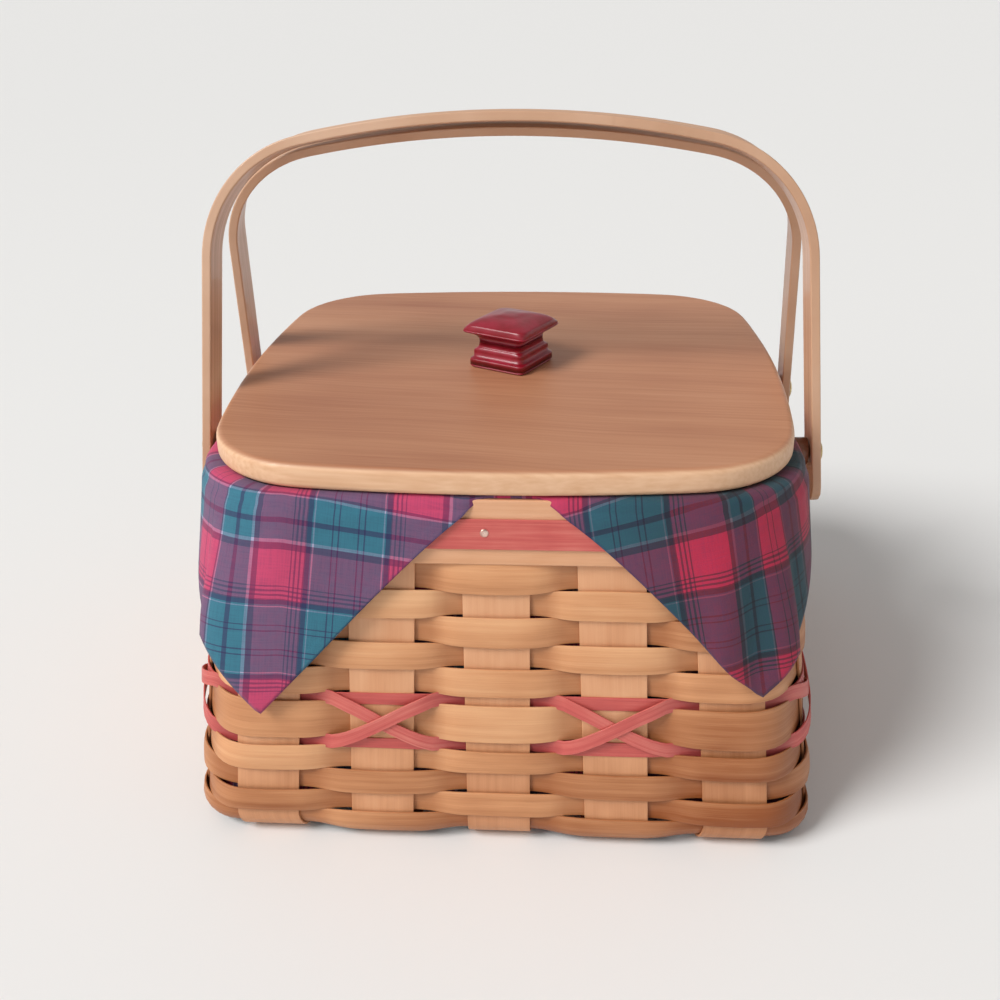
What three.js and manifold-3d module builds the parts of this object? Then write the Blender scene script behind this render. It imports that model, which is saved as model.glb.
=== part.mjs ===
// A square lidded basket woven of flat wood splints, with two swing handles and a cloth lining.
// Millimetres, +Z up. The origin is on the floor under the middle of the basket, and the front faces -Y.
import * as THREE from "three";
import { mergeVertices } from "three/addons/utils/BufferGeometryUtils.js";
import Module from "manifold-3d";

const wasm = await Module();
wasm.setup();

// Clearance between pieces that touch, and how far a cutter runs past what it cuts.
const CLEAR = 0.3;
const OVERRUN = 2;

// Body: half widths are to the middle of the stakes. The other sizes in plan are shares of the belly's.
const RIM_TOP = 206;
const BELLY_HALF_WIDTH = 170;
const BELLY_CORNER_SHARE = 0.1765;
const BOTTOM_BEND_SHARE = 0.1412;
const RIM_WIDTH_SHARE = 0.903;
const RIM_CORNER_SHARE = 0.3353;
const BELLY_CORNER_RADIUS = BELLY_HALF_WIDTH * BELLY_CORNER_SHARE;
const BOTTOM_BEND_RADIUS = BELLY_HALF_WIDTH * BOTTOM_BEND_SHARE;
const RIM_HALF_WIDTH = BELLY_HALF_WIDTH * RIM_WIDTH_SHARE;
const RIM_CORNER_RADIUS = BELLY_HALF_WIDTH * RIM_CORNER_SHARE;

// Splints. Their widths are shares of their pitch, and the pitches are shares of the belly's half width.
const STAKE_THICKNESS = 1.4;
const STAKES_PER_SIDE = 5;
const BELLY_PITCH_SHARE = 0.3794;
const BASE_PITCH_SHARE = 0.3676;
const STAKE_WIDTH_SHARE = 0.5333;
const FILLER_WIDTH_SHARE = 0.36;
const BELLY_STAKE_PITCH = BELLY_HALF_WIDTH * BELLY_PITCH_SHARE;
const BASE_STAKE_PITCH = BELLY_HALF_WIDTH * BASE_PITCH_SHARE;
const STAKE_WIDTH = BELLY_STAKE_PITCH * STAKE_WIDTH_SHARE;
const FILLER_WIDTH = BASE_STAKE_PITCH * FILLER_WIDTH_SHARE;
const FILLER_TAIL = 1.3;
const WEAVER_THICKNESS = 1.2;
const WEAVER_LAP = 0.6;
const ROW_GAP = 0.6;
const UPPER_ROWS = 5;
const UPPER_ROW_WIDTH = 14.7;
const LOWER_ROWS = 4;
const LOWER_ROW_WIDTH = 13.2;
const WIDE_ROW_WIDTH = 20.6;
const RED_ROW_WIDTH = 5.8;
const RED_SPLINT_THICKNESS = 0.8;
const CROSS_STRIP_WIDTH = 5;
const CROSS_LEAVE_SHARE = 0.62;

// Rim.
const RIM_BAND_HEIGHT = 35;
const RIM_BAND_THICKNESS = 3;
const RED_STRIP_HEIGHT = 17.4;
const RED_STRIP_THICKNESS = 1;
const RED_STRIP_DROP = 10;

// Cloth lining: a square cloth whose four tips hang out over the rim. Each tip is placed round the
// rim from the middle of the front, with its drop and the length of rim it covers to either hand, all
// as shares of the rim's length.
const CLOTH_THICKNESS = 1.2;
const CLOTH_FLOOR_LIFT = 1.5;
const CLOTH_FLOOR_RADIUS = 26;
const CLOTH_WALL_STANDOFF = 7.5;
const CLOTH_HANG_STANDOFF = 1.2;
const CLOTH_HEM_DROP = 3;
const CLOTH_FRONT_FOLD_DEPTH = 5;
const CLOTH_SIDE_FOLD_DEPTH = 1;
const CLOTH_FOLD_START = 60;
const CLOTH_TIP_SHARES = [
  { at: 0.1106, drop: 0.0973, before: 0.0885, after: 0.0805 },
  { at: 0.3876, drop: 0.108, before: 0.0788, after: 0.092 },
  { at: 0.6123, drop: 0.1026, before: 0.0938, after: 0.0788 },
  { at: 0.899, drop: 0.1168, before: 0.0903, after: 0.0956 },
];
const CLOTH_STEPS = 6;
const CLOTH_HANG_SHARES = [0.2, 0.45, 0.72, 1];

// Lid, its battens, knob and screw.
const LID_OVERHANG = 5.5;
const LID_HALF_WIDTH = RIM_HALF_WIDTH + LID_OVERHANG;
const LID_CORNER_EASE = 4.5;
const LID_CORNER_RADIUS = RIM_CORNER_RADIUS + LID_CORNER_EASE;
const LID_SIDE_BOW = 5.4;
const LID_THICKNESS = 13.5;
const LID_EDGE_ROUND = 3.5;
const LID_CORNER_STEPS = 7;
const LID_SIDE_STEPS = 4;
const BATTEN_INSET = 54;
const BATTEN_LENGTH = 2 * (LID_HALF_WIDTH - BATTEN_INSET);
const BATTEN_WIDTH = 20;
const BATTEN_THICKNESS = 8;
const BATTEN_SPREAD = LID_HALF_WIDTH - BATTEN_INSET;
const KNOB_WIDTH = 41;
const KNOB_HEIGHT = 26;
const KNOB_TURN = -Math.PI / 6;
const KNOB_STEPS = 24;
// From the foot up: shares of the knob's width and height, and how square each level is.
const KNOB_OUTLINE_SHARES = [
  { width: 0.9, height: 0, squareness: 7 },
  { width: 0.9, height: 0.1, squareness: 7 },
  { width: 0.82, height: 0.15, squareness: 6 },
  { width: 0.78, height: 0.24, squareness: 6 },
  { width: 0.65, height: 0.34, squareness: 5 },
  { width: 0.6, height: 0.46, squareness: 5 },
  { width: 0.68, height: 0.56, squareness: 5 },
  { width: 0.86, height: 0.65, squareness: 6 },
  { width: 0.98, height: 0.69, squareness: 7 },
  { width: 1, height: 0.75, squareness: 7 },
  { width: 0.97, height: 0.82, squareness: 7 },
  { width: 0.84, height: 0.91, squareness: 6 },
  { width: 0.55, height: 0.98, squareness: 5 },
  { width: 0.2, height: 1, squareness: 4 },
];
const SCREW_RADIUS = 2.4;
const SCREW_HEAD_RADIUS = 4.6;
const SCREW_HEAD_THICKNESS = 2.2;
const SCREW_CROWN_SHARE = 0.7;
const SCREW_BITE = 13;

// Handles: flat bent strips that swing on rivets through the rim. The back one reaches a little
// further, leans forward until its crown stands past the middle, and bears the front one.
const FRONT_HANDLE_REACH = 181.5;
const HANDLE_REACH_STEP = 3;
const BACK_HANDLE_REACH = FRONT_HANDLE_REACH + HANDLE_REACH_STEP;
const HANDLE_STANDOFF = 10.9;
const HANDLE_SPLAY = 0.0875;
const HANDLE_SHOULDER_RADIUS = 68;
const HANDLE_CROWN_ANGLE = 0.21;
const HANDLE_WIDTH = 22;
const HANDLE_THICKNESS = 5.2;
const HANDLE_FOOT_DROP = 17;
const HANDLE_FOOT_SHARES = [0.35, 0.7, 0.92, 1];
const HANDLE_SHOULDER_STEPS = 9;
const HANDLE_CROWN_STEPS = 5;
const HANDLE_PIVOT_SHARE = 0.9026;
const BACK_CROWN_PAST_SHARE = 0.179;
const RIVET_RADIUS = 2.5;
const RIVET_HEAD_RADIUS = 6;
const RIVET_HEAD_THICKNESS = 1.8;
const RIVET_CROWN_WIDTH_SHARE = 0.75;
const RIVET_CROWN_HEIGHT_SHARE = 0.8;
const RIVET_TAIL_RADIUS = 5;
const RIVET_TAIL_THICKNESS = 1.2;
const SPACER_RADIUS = 8;

// Counts of facets and steps.
const ROUND_SIDES = 12;
const LEAN_STEPS = 40;
const BASE_CELLS = 2 * STAKES_PER_SIDE - 1;
const STAKE_COUNT = 4 * STAKES_PER_SIDE;

// Worked out sizes.
const WEAVE_OFFSET = STAKE_THICKNESS / 2 + CLEAR + WEAVER_THICKNESS / 2;
const RED_OFFSET = STAKE_THICKNESS / 2 + CLEAR + RED_SPLINT_THICKNESS / 2;
const RED_LAYER = RED_SPLINT_THICKNESS + CLEAR;
const BASE_OFFSET = (STAKE_THICKNESS + CLEAR) / 2;
const BASE_MIDDLE = BASE_OFFSET + STAKE_THICKNESS / 2;
const BELLY_HEIGHT = BASE_MIDDLE + BOTTOM_BEND_RADIUS;
const LID_BOTTOM = RIM_TOP + CLEAR + CLOTH_THICKNESS + CLEAR;
const LID_TOP = LID_BOTTOM + LID_THICKNESS;
const RIM_BAND_BOTTOM = RIM_TOP - RIM_BAND_HEIGHT;
const RED_STRIP_TOP = RIM_TOP - RED_STRIP_DROP;
const PIVOT_HEIGHT = RED_STRIP_TOP - RED_STRIP_HEIGHT / 2;
const WALL_LEAN = (BELLY_HALF_WIDTH - RIM_HALF_WIDTH) / (RIM_TOP - BELLY_HEIGHT);
const BAND_INNER = STAKE_THICKNESS / 2 + CLEAR;
const BAND_OUTER = BAND_INNER + RIM_BAND_THICKNESS;
const STRIP_OUTER = BAND_OUTER + CLEAR + RED_STRIP_THICKNESS;
const RIM_BAND_TOP = RIM_TOP - BAND_OUTER * WALL_LEAN;
const RIM_LENGTH = ringLength(RIM_HALF_WIDTH, RIM_CORNER_RADIUS);
const RIM_STAKE_PITCH = RIM_LENGTH / STAKE_COUNT;
const HANDLE_PIVOT_OFFSET = RIM_STAKE_PITCH * HANDLE_PIVOT_SHARE;
const HANDLE_FOOT_HALF_SPREAD =
  wallAt(PIVOT_HEIGHT).half + STRIP_OUTER + HANDLE_STANDOFF + HANDLE_THICKNESS / 2;
const BACK_CROWN_RUN = HANDLE_PIVOT_OFFSET * (1 + BACK_CROWN_PAST_SHARE);
const BACK_HANDLE_LEAN = Math.asin(BACK_CROWN_RUN / BACK_HANDLE_REACH);

const WOOD = { color: 0xd2a06c, roughness: 0.6 };
const PALE_WOOD = { color: 0xdcb184, roughness: 0.6 };
const LID_WOOD = { color: 0xb98158, roughness: 0.5 };
const RED_SPLINT = { color: 0xc4574f, roughness: 0.6 };
const RED_GLOSS = { color: 0x9c1024, roughness: 0.15 };
const CLOTH = { color: 0xa8527f, roughness: 0.9 };
const METAL = { color: 0xb9a17a, roughness: 0.35, metalness: 0.9 };

// Length round a square ring with rounded corners.
function ringLength(halfWidth, radius) {
  return 8 * (halfWidth - radius) + 2 * Math.PI * radius;
}

// The wall at one height above the belly: its half width, corner radius and the pitch of its stakes.
function wallAt(height) {
  const rise = (height - BELLY_HEIGHT) / (RIM_TOP - BELLY_HEIGHT);
  return {
    height,
    half: THREE.MathUtils.lerp(BELLY_HALF_WIDTH, RIM_HALF_WIDTH, rise),
    radius: THREE.MathUtils.lerp(BELLY_CORNER_RADIUS, RIM_CORNER_RADIUS, rise),
    pitch: THREE.MathUtils.lerp(BELLY_STAKE_PITCH, RIM_STAKE_PITCH, rise),
  };
}

// The wall in the bend at the bottom: the angle runs from zero at the belly to a quarter turn at the base.
function bendAt(angle) {
  const tuck = BOTTOM_BEND_RADIUS * (1 - Math.cos(angle));
  return {
    height: BELLY_HEIGHT - BOTTOM_BEND_RADIUS * Math.sin(angle),
    half: BELLY_HALF_WIDTH - tuck,
    radius: BELLY_CORNER_RADIUS - tuck,
    pitch: THREE.MathUtils.lerp(BELLY_STAKE_PITCH, BASE_STAKE_PITCH, angle / (Math.PI / 2)),
  };
}

// The wall at a distance down the face from the rim's top, round the bend.
function wallDown(distance) {
  const straight = (RIM_TOP - BELLY_HEIGHT) * Math.hypot(1, WALL_LEAN);
  if (distance <= straight) {
    return wallAt(RIM_TOP - (RIM_TOP - BELLY_HEIGHT) * (distance / straight));
  }
  return bendAt((distance - straight) / BOTTOM_BEND_RADIUS);
}

// A point on the ring, a distance round it from the middle of the front, with its outward direction.
function ringPoint(wall, along) {
  const quarter = ringLength(wall.half, wall.radius) / 4;
  const side = Math.round(along / quarter);
  const offset = along - side * quarter;
  const flat = wall.half - wall.radius;
  const turn = Math.max(0, Math.abs(offset) - flat) / wall.radius;
  const sign = Math.sign(offset);
  const x = sign * (Math.min(Math.abs(offset), flat) + wall.radius * Math.sin(turn));
  const y = -(flat + wall.radius * Math.cos(turn));
  const spin = (side * Math.PI) / 2;
  const place = new THREE.Vector2(x, y).rotateAround(new THREE.Vector2(), spin);
  const outward = new THREE.Vector2(sign * Math.sin(turn), -Math.cos(turn));
  return { place, outward: outward.rotateAround(new THREE.Vector2(), spin) };
}

// A point off the wall: out along the ring's outward direction and up.
function offWall(wall, along, out, up = 0) {
  const { place, outward } = ringPoint(wall, along);
  return new THREE.Vector3(place.x + outward.x * out, place.y + outward.y * out, wall.height + up);
}

// The middle of a stake, round the ring from the middle of the front.
function stakeAlong(wall, stake) {
  const side = Math.round(stake / STAKES_PER_SIDE);
  const quarter = ringLength(wall.half, wall.radius) / 4;
  return side * quarter + (stake - side * STAKES_PER_SIDE) * wall.pitch;
}

function isCornerStake(stake) {
  return Math.abs(stake - STAKES_PER_SIDE * Math.round(stake / STAKES_PER_SIDE)) === 2;
}

// Stations round a ring: each stake's two edges, its middle near a corner, and places in the gap at
// the corner. Each names its stake, its place across the stake and its share of the way to the next.
function ringStations(lap, cornerShares = [0.5]) {
  const stations = [];
  const reach = STAKE_WIDTH / 2 + lap;
  for (let stake = 0; stake < STAKE_COUNT; stake += 1) {
    stations.push({ stake, across: -reach, over: 0 });
    if (isCornerStake(stake)) stations.push({ stake, across: 0, over: 0 });
    stations.push({ stake, across: reach, over: 0 });
    if (isCornerStake(stake) && isCornerStake(stake + 1)) {
      for (const over of cornerShares) stations.push({ stake, across: reach, over });
    }
  }
  return stations;
}

function stationAlong(wall, station, lap) {
  const reach = STAKE_WIDTH / 2 + lap;
  const start = stakeAlong(wall, station.stake) + station.across;
  const next = stakeAlong(wall, station.stake + 1) - reach;
  return THREE.MathUtils.lerp(start, next, station.over);
}

// The tilted outward direction of a straight stretch of wall between two heights, as out and up.
function faceDirection(upper, lower) {
  const run = lower.half - upper.half;
  const drop = upper.height - lower.height;
  const length = Math.hypot(run, drop);
  return { out: drop / length, up: run / length };
}

// A closed surface through rings of points. Rings follow each other, and either close on themselves
// as a loop or are shut by a fan at each end. Each four-sided face is split along its shorter diagonal.
function loft(rings, { loop = false } = {}) {
  const count = rings[0].length;
  const points = rings.flat();
  const index = [];
  const rows = loop ? rings.length : rings.length - 1;
  for (let row = 0; row < rows; row += 1) {
    const here = row * count;
    const next = ((row + 1) % rings.length) * count;
    for (let k = 0; k < count; k += 1) {
      const k2 = (k + 1) % count;
      const [a, b, c, d] = [here + k, here + k2, next + k2, next + k];
      const even = points[a].distanceToSquared(points[c]) <= points[b].distanceToSquared(points[d]);
      index.push(...(even ? [a, b, c, a, c, d] : [a, b, d, b, c, d]));
    }
  }
  if (!loop) {
    for (const [ring, flip] of [[0, true], [rings.length - 1, false]]) {
      const middle = points.length;
      points.push(rings[ring].reduce((sum, p) => sum.add(p), new THREE.Vector3()).divideScalar(count));
      for (let k = 0; k < count; k += 1) {
        const a = ring * count + k;
        const b = ring * count + ((k + 1) % count);
        index.push(...(flip ? [middle, b, a] : [middle, a, b]));
      }
    }
  }
  return solid(points, index);
}

// A geometry from points and triangles, turned outward if its volume comes out negative.
function solid(points, index) {
  let volume = 0;
  for (let t = 0; t < index.length; t += 3) {
    const [a, b, c] = [points[index[t]], points[index[t + 1]], points[index[t + 2]]];
    volume += a.dot(new THREE.Vector3().crossVectors(b, c));
  }
  const order = volume < 0 ? index.toReversed() : index;
  const geometry = new THREE.BufferGeometry().setFromPoints(points);
  geometry.setIndex(order);
  return geometry;
}

// Cuts one closed geometry out of another.
function cut(body, tools) {
  let result = toManifold(body);
  for (const tool of tools) result = result.subtract(toManifold(tool));
  const mesh = result.getMesh();
  const geometry = new THREE.BufferGeometry();
  geometry.setAttribute("position", new THREE.BufferAttribute(new Float32Array(mesh.vertProperties), 3));
  geometry.setIndex(Array.from(mesh.triVerts));
  return geometry;
}

function toManifold(geometry) {
  const bare = geometry.clone();
  bare.deleteAttribute("normal");
  bare.deleteAttribute("uv");
  const merged = mergeVertices(bare);
  return new wasm.Manifold(
    new wasm.Mesh({
      numProp: 3,
      vertProperties: new Float32Array(merged.attributes.position.array),
      triVerts: new Uint32Array(merged.index.array),
    }),
  );
}

// A round bar along X between two places, for holes and spacers.
function barAlongX(radius, from, to, y, z) {
  const bar = new THREE.CylinderGeometry(radius, radius, Math.abs(to - from), ROUND_SIDES);
  bar.rotateZ(Math.PI / 2);
  bar.translate((from + to) / 2, y, z);
  return bar;
}

function meshOf(name, geometry, finish) {
  const mesh = new THREE.Mesh(geometry, new THREE.MeshStandardMaterial(finish));
  mesh.name = name;
  return mesh;
}

// Rows of weaving, from the rim down. A row with shift 0 passes outside the middle stake of each
// front, and one with shift 1 passes behind it.
function weavingRows() {
  const rows = [];
  let top = RIM_BAND_HEIGHT * Math.hypot(1, WALL_LEAN) + ROW_GAP;
  const add = (name, width, kind) => {
    rows.push({ name, top, width, kind, shift: rows.length % 2 });
    top += width + ROW_GAP;
  };
  for (let k = 1; k <= UPPER_ROWS; k += 1) add(`upper_weaver_${k}`, UPPER_ROW_WIDTH, "plain");
  add("red_weaver_upper", RED_ROW_WIDTH, "red");
  add("wide_weaver", WIDE_ROW_WIDTH, "plain");
  add("red_weaver_lower", RED_ROW_WIDTH, "red");
  for (let k = 1; k <= LOWER_ROWS; k += 1) add(`lower_weaver_${k}`, LOWER_ROW_WIDTH, "plain");
  return rows;
}

// Four corners of a flat splint between an upper and a lower wall, at an offset from the stakes.
function splintSection(upper, lower, alongUpper, alongLower, offset, thickness) {
  const face = faceDirection(upper, lower);
  const corner = (wall, along, off) => offWall(wall, along, off * face.out, off * face.up);
  return [
    corner(upper, alongUpper, offset - thickness / 2),
    corner(lower, alongLower, offset - thickness / 2),
    corner(lower, alongLower, offset + thickness / 2),
    corner(upper, alongUpper, offset + thickness / 2),
  ];
}

// A hoop of weaving: each station is given its offset from the stakes, and may be moved down the wall.
function hoop(rowTop, width, thickness, stations, lap, offsetAt, dropAt = () => 0) {
  const rings = stations.map((station) => {
    const top = rowTop + dropAt(station);
    const upper = wallDown(top);
    const lower = wallDown(top + width);
    const alongUpper = stationAlong(upper, station, lap);
    const alongLower = stationAlong(lower, station, lap);
    return splintSection(upper, lower, alongUpper, alongLower, offsetAt(station), thickness);
  });
  return loft(rings, { loop: true });
}

// A row's offset at a station: outside one stake, inside the next, and halfway in the gap's middle.
function rowOffset(station, shift, outside, inside) {
  const here = (station.stake + shift) % 2 === 0 ? outside : inside;
  const next = (station.stake + shift) % 2 === 0 ? inside : outside;
  return THREE.MathUtils.lerp(here, next, station.over);
}

function makeRow(row) {
  if (row.kind === "red") {
    const stations = ringStations(WEAVER_LAP, [1 - CROSS_LEAVE_SHARE, 0.5, CROSS_LEAVE_SHARE]);
    const offsetAt = (s) => rowOffset(s, row.shift, RED_OFFSET, -(RED_OFFSET + RED_LAYER));
    const hoopGeometry = hoop(row.top, row.width, RED_SPLINT_THICKNESS, stations, WEAVER_LAP, offsetAt);
    return meshOf(row.name, hoopGeometry, RED_SPLINT);
  }
  const offsetAt = (s) => rowOffset(s, row.shift, WEAVE_OFFSET, -WEAVE_OFFSET);
  const stations = ringStations(WEAVER_LAP);
  const geometry = hoop(row.top, row.width, WEAVER_THICKNESS, stations, WEAVER_LAP, offsetAt);
  return meshOf(row.name, geometry, WOOD);
}

// Stations for a crossing strip: as round any ring, and where it leaves its row on the way to a stake
// that it crosses.
function crossStations() {
  const stations = [];
  const reach = STAKE_WIDTH / 2 + WEAVER_LAP;
  for (let stake = 0; stake < STAKE_COUNT; stake += 1) {
    stations.push({ stake, across: -reach, over: 0 });
    stations.push({ stake, across: 0, over: 0 });
    stations.push({ stake, across: reach, over: 0 });
    const leaving = stake % 2 === 0 ? CROSS_LEAVE_SHARE : 1 - CROSS_LEAVE_SHARE;
    const corner = isCornerStake(stake) && isCornerStake(stake + 1);
    const shares = corner ? [1 - CROSS_LEAVE_SHARE, 0.5, CROSS_LEAVE_SHARE] : [leaving];
    for (const over of shares) stations.push({ stake, across: reach, over });
  }
  return stations;
}

// One of the two red crossing strips. Behind every second stake it lies in front of a red row, and over
// the stakes between it changes rows, one strip across the other. It leaves its row only in front of
// the wide row.
function makeCrossStrip(name, startsHigh, layer, rows) {
  const upperRow = rows.find((row) => row.name === "red_weaver_upper");
  const lowerRow = rows.find((row) => row.name === "red_weaver_lower");
  const inset = (RED_ROW_WIDTH - CROSS_STRIP_WIDTH) / 2;
  const swing = lowerRow.top - upperRow.top;
  const reach = STAKE_WIDTH / 2 + WEAVER_LAP;
  const middle = wallDown((upperRow.top + lowerRow.top) / 2);
  const offsetAt = (s) => rowOffset(s, 1, RED_OFFSET + layer * RED_LAYER, -RED_OFFSET);
  const dropAt = (s) => {
    const crossed = s.stake % 2 === 1 ? s.stake : s.stake + 1;
    const gap = stakeAlong(middle, s.stake + 1) - stakeAlong(middle, s.stake) - 2 * reach;
    const before = s.stake % 2 === 1 ? s.across + gap * s.over : -reach - gap * (1 - s.over);
    const past = s.over === 0 && s.stake % 2 === 0 ? -Infinity : before;
    const run = reach + (1 - CROSS_LEAVE_SHARE) * gap;
    const share = THREE.MathUtils.clamp((past + run) / (2 * run), 0, 1);
    const high = (((crossed - 1) / 2) % 2 === 0) === startsHigh;
    return swing * (high ? share : 1 - share);
  };
  const geometry = hoop(
    upperRow.top + inset,
    CROSS_STRIP_WIDTH,
    RED_SPLINT_THICKNESS,
    crossStations(),
    WEAVER_LAP,
    offsetAt,
    dropAt,
  );
  return meshOf(name, geometry, RED_SPLINT);
}

// Where a stake is shaped: at the rim, at the rows' edges down the bend so that both bend alike, and
// for a stake that rounds a corner also at the rim band's lower edge and at every second row.
function stakeWalls(rows, roundsCorner) {
  const last = rows[rows.length - 1];
  const straight = (RIM_TOP - BELLY_HEIGHT) * Math.hypot(1, WALL_LEAN);
  const inBend = (row) => row.top + row.width > straight;
  const edges = rows.filter((row, k) => inBend(row) || (roundsCorner && k % 2 === 0));
  const downs = edges.map((row) => row.top - ROW_GAP / 2);
  downs.push(last.top + last.width + ROW_GAP / 2);
  const lowest = (downs[downs.length - 1] - straight) / BOTTOM_BEND_RADIUS;
  const walls = [wallAt(RIM_TOP), ...downs.map(wallDown)];
  walls.push(bendAt((lowest + Math.PI / 2) / 2));
  walls.push(bendAt(Math.PI / 2));
  return walls;
}

// The corners of a stake across its width at one wall, mitred between the stretches above and below.
function stakeSection(walls, k, stake, samples) {
  const face = (a, b) => faceDirection(walls[a], walls[b]);
  const above = k > 0 ? face(k - 1, k) : face(k, k + 1);
  const below = k < walls.length - 1 ? face(k, k + 1) : { out: 0, up: -1 };
  const out = above.out + below.out;
  const up = above.up + below.up;
  const mitre = 2 / (out * out + up * up);
  const point = (across, off) =>
    offWall(walls[k], stakeAlong(walls[k], stake) + across, off * out * mitre, off * up * mitre);
  const inner = samples.map((across) => point(across, -STAKE_THICKNESS / 2));
  const outer = samples.map((across) => point(across, STAKE_THICKNESS / 2));
  return [...inner, ...outer.reverse()];
}

// Where a base strip lies at each end of each crossing, from one side of the base to the other.
function baseCrossings(place) {
  const crossings = [];
  const half = (BASE_CELLS - 1) / 2;
  for (let cell = -half; cell <= half; cell += 1) {
    const halfWidth = (cell % 2 === 0 ? STAKE_WIDTH : FILLER_WIDTH) / 2 + WEAVER_LAP / 2;
    const middle = (cell * BASE_STAKE_PITCH) / 2;
    const upper = (cell + place) % 2 === 0;
    crossings.push({ at: middle - halfWidth, upper }, { at: middle + halfWidth, upper });
  }
  return crossings;
}

// A stake, up one wall, under the base and up the other. It is made front to back, then turned.
function makeStake(name, number, rows, sideways) {
  const walls = stakeWalls(rows, isCornerStake(number));
  const half = STAKE_WIDTH / 2;
  const samples = isCornerStake(number) ? [-half, 0, half] : [-half, half];
  const front = walls.map((_, k) => stakeSection(walls, k, number, samples));
  const mirror = (ring) => ring.map((p) => new THREE.Vector3(p.x, -p.y, p.z));
  const back = front.map(mirror).reverse();
  const base = baseCrossings(2 * number + (sideways ? 1 : 0)).map(({ at, upper }) => {
    const lift = BASE_MIDDLE + (upper ? BASE_OFFSET : -BASE_OFFSET);
    const x = number * BASE_STAKE_PITCH;
    const inner = samples.map((across) => new THREE.Vector3(x + across, at, lift + STAKE_THICKNESS / 2));
    const outer = samples.map((across) => new THREE.Vector3(x + across, at, lift - STAKE_THICKNESS / 2));
    return [...inner, ...outer.reverse()];
  });
  const mesh = meshOf(name, loft([...front, ...base, ...back]), WOOD);
  if (sideways) mesh.geometry.rotateZ(Math.PI / 2);
  return mesh;
}

// A filler, a narrower strip that closes the base between two stakes.
function makeFiller(name, number, sideways) {
  const crossings = baseCrossings(number + (sideways ? 1 : 0));
  const middle = (number * BASE_STAKE_PITCH) / 2;
  const half = FILLER_WIDTH / 2;
  const ends = [crossings[0], crossings[crossings.length - 1]];
  const stretched = [
    { at: ends[0].at - FILLER_TAIL, upper: ends[0].upper },
    ...crossings.slice(1, -1),
    { at: ends[1].at + FILLER_TAIL, upper: ends[1].upper },
  ];
  const rings = stretched.map(({ at, upper }) => {
    const lift = BASE_MIDDLE + (upper ? BASE_OFFSET : -BASE_OFFSET);
    return [
      new THREE.Vector3(middle - half, at, lift + STAKE_THICKNESS / 2),
      new THREE.Vector3(middle + half, at, lift + STAKE_THICKNESS / 2),
      new THREE.Vector3(middle + half, at, lift - STAKE_THICKNESS / 2),
      new THREE.Vector3(middle - half, at, lift - STAKE_THICKNESS / 2),
    ];
  });
  const mesh = meshOf(name, loft(rings), WOOD);
  if (sideways) mesh.geometry.rotateZ(Math.PI / 2);
  return mesh;
}

// A band round the rim between two offsets and two heights.
function rimBand(top, bottom, inner, outer) {
  const upper = wallAt(top);
  const lower = wallAt(bottom);
  const thickness = outer - inner;
  const stations = ringStations(0).filter(({ stake }) => isCornerStake(stake));
  const rings = stations.map((station) => {
    const alongUpper = stationAlong(upper, station, 0);
    const alongLower = stationAlong(lower, station, 0);
    return splintSection(upper, lower, alongUpper, alongLower, (inner + outer) / 2, thickness);
  });
  return loft(rings, { loop: true });
}

const PIVOTS = [
  { name: "front_left", x: -1, y: -1 },
  { name: "front_right", x: 1, y: -1 },
  { name: "back_left", x: -1, y: 1 },
  { name: "back_right", x: 1, y: 1 },
];

// The four holes for the rivets, through whatever stands at the side walls.
function rivetHoles(inside, outside) {
  return PIVOTS.map(({ x, y }) =>
    barAlongX(RIVET_RADIUS + CLEAR, x * inside, x * outside, y * HANDLE_PIVOT_OFFSET, PIVOT_HEIGHT),
  );
}

// The cloth's columns round the rim: for each tip, from where its hem leaves the rim to where it comes
// back. Each column has its share of the rim's length, the hem's drop and the depth of its fold.
function clothColumns() {
  const columns = [];
  CLOTH_TIP_SHARES.forEach(({ at, drop, before, after }, tip) => {
    for (let step = -CLOTH_STEPS; step <= CLOTH_STEPS; step += 1) {
      const share = 1 - Math.abs(step) / CLOTH_STEPS;
      const along = at + (step < 0 ? before : after) * (step / CLOTH_STEPS);
      const onFront = (step > 0) === (tip % 2 === 1);
      const depth = onFront ? CLOTH_FRONT_FOLD_DEPTH : CLOTH_SIDE_FOLD_DEPTH;
      const hang = CLOTH_HEM_DROP + (drop * RIM_LENGTH - CLOTH_HEM_DROP) * share;
      columns.push({ along, hang, fold: step % 2 === 0 ? 0 : depth });
    }
  });
  return columns;
}

// The cloth's path at a column, as distance out from the stakes, height and share of the floor. It
// crosses the floor, climbs the wall, goes over the rim and hangs outside.
function clothPath({ hang, fold }) {
  const inside = -CLOTH_WALL_STANDOFF;
  const outside = STRIP_OUTER + CLOTH_HANG_STANDOFF + CLOTH_THICKNESS / 2;
  const floor = BASE_MIDDLE + BASE_OFFSET + STAKE_THICKNESS / 2 + CLOTH_FLOOR_LIFT;
  const over = RIM_TOP + CLEAR + CLOTH_THICKNESS / 2;
  const hanging = CLOTH_HANG_SHARES.map((share) => {
    const push = fold * Math.min(1, (share * hang) / CLOTH_FOLD_START);
    return { share: 1, out: outside + push, height: over - share * hang };
  });
  return [
    { share: 0.5, out: inside, height: floor },
    { share: 1, out: inside - CLOTH_FLOOR_RADIUS / 2, height: floor },
    { share: 1, out: inside, height: floor + CLOTH_FLOOR_RADIUS },
    { share: 1, out: inside, height: (floor + over) / 2 },
    { share: 1, out: inside, height: over },
    { share: 1, out: outside, height: over },
    ...hanging,
  ];
}

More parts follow.
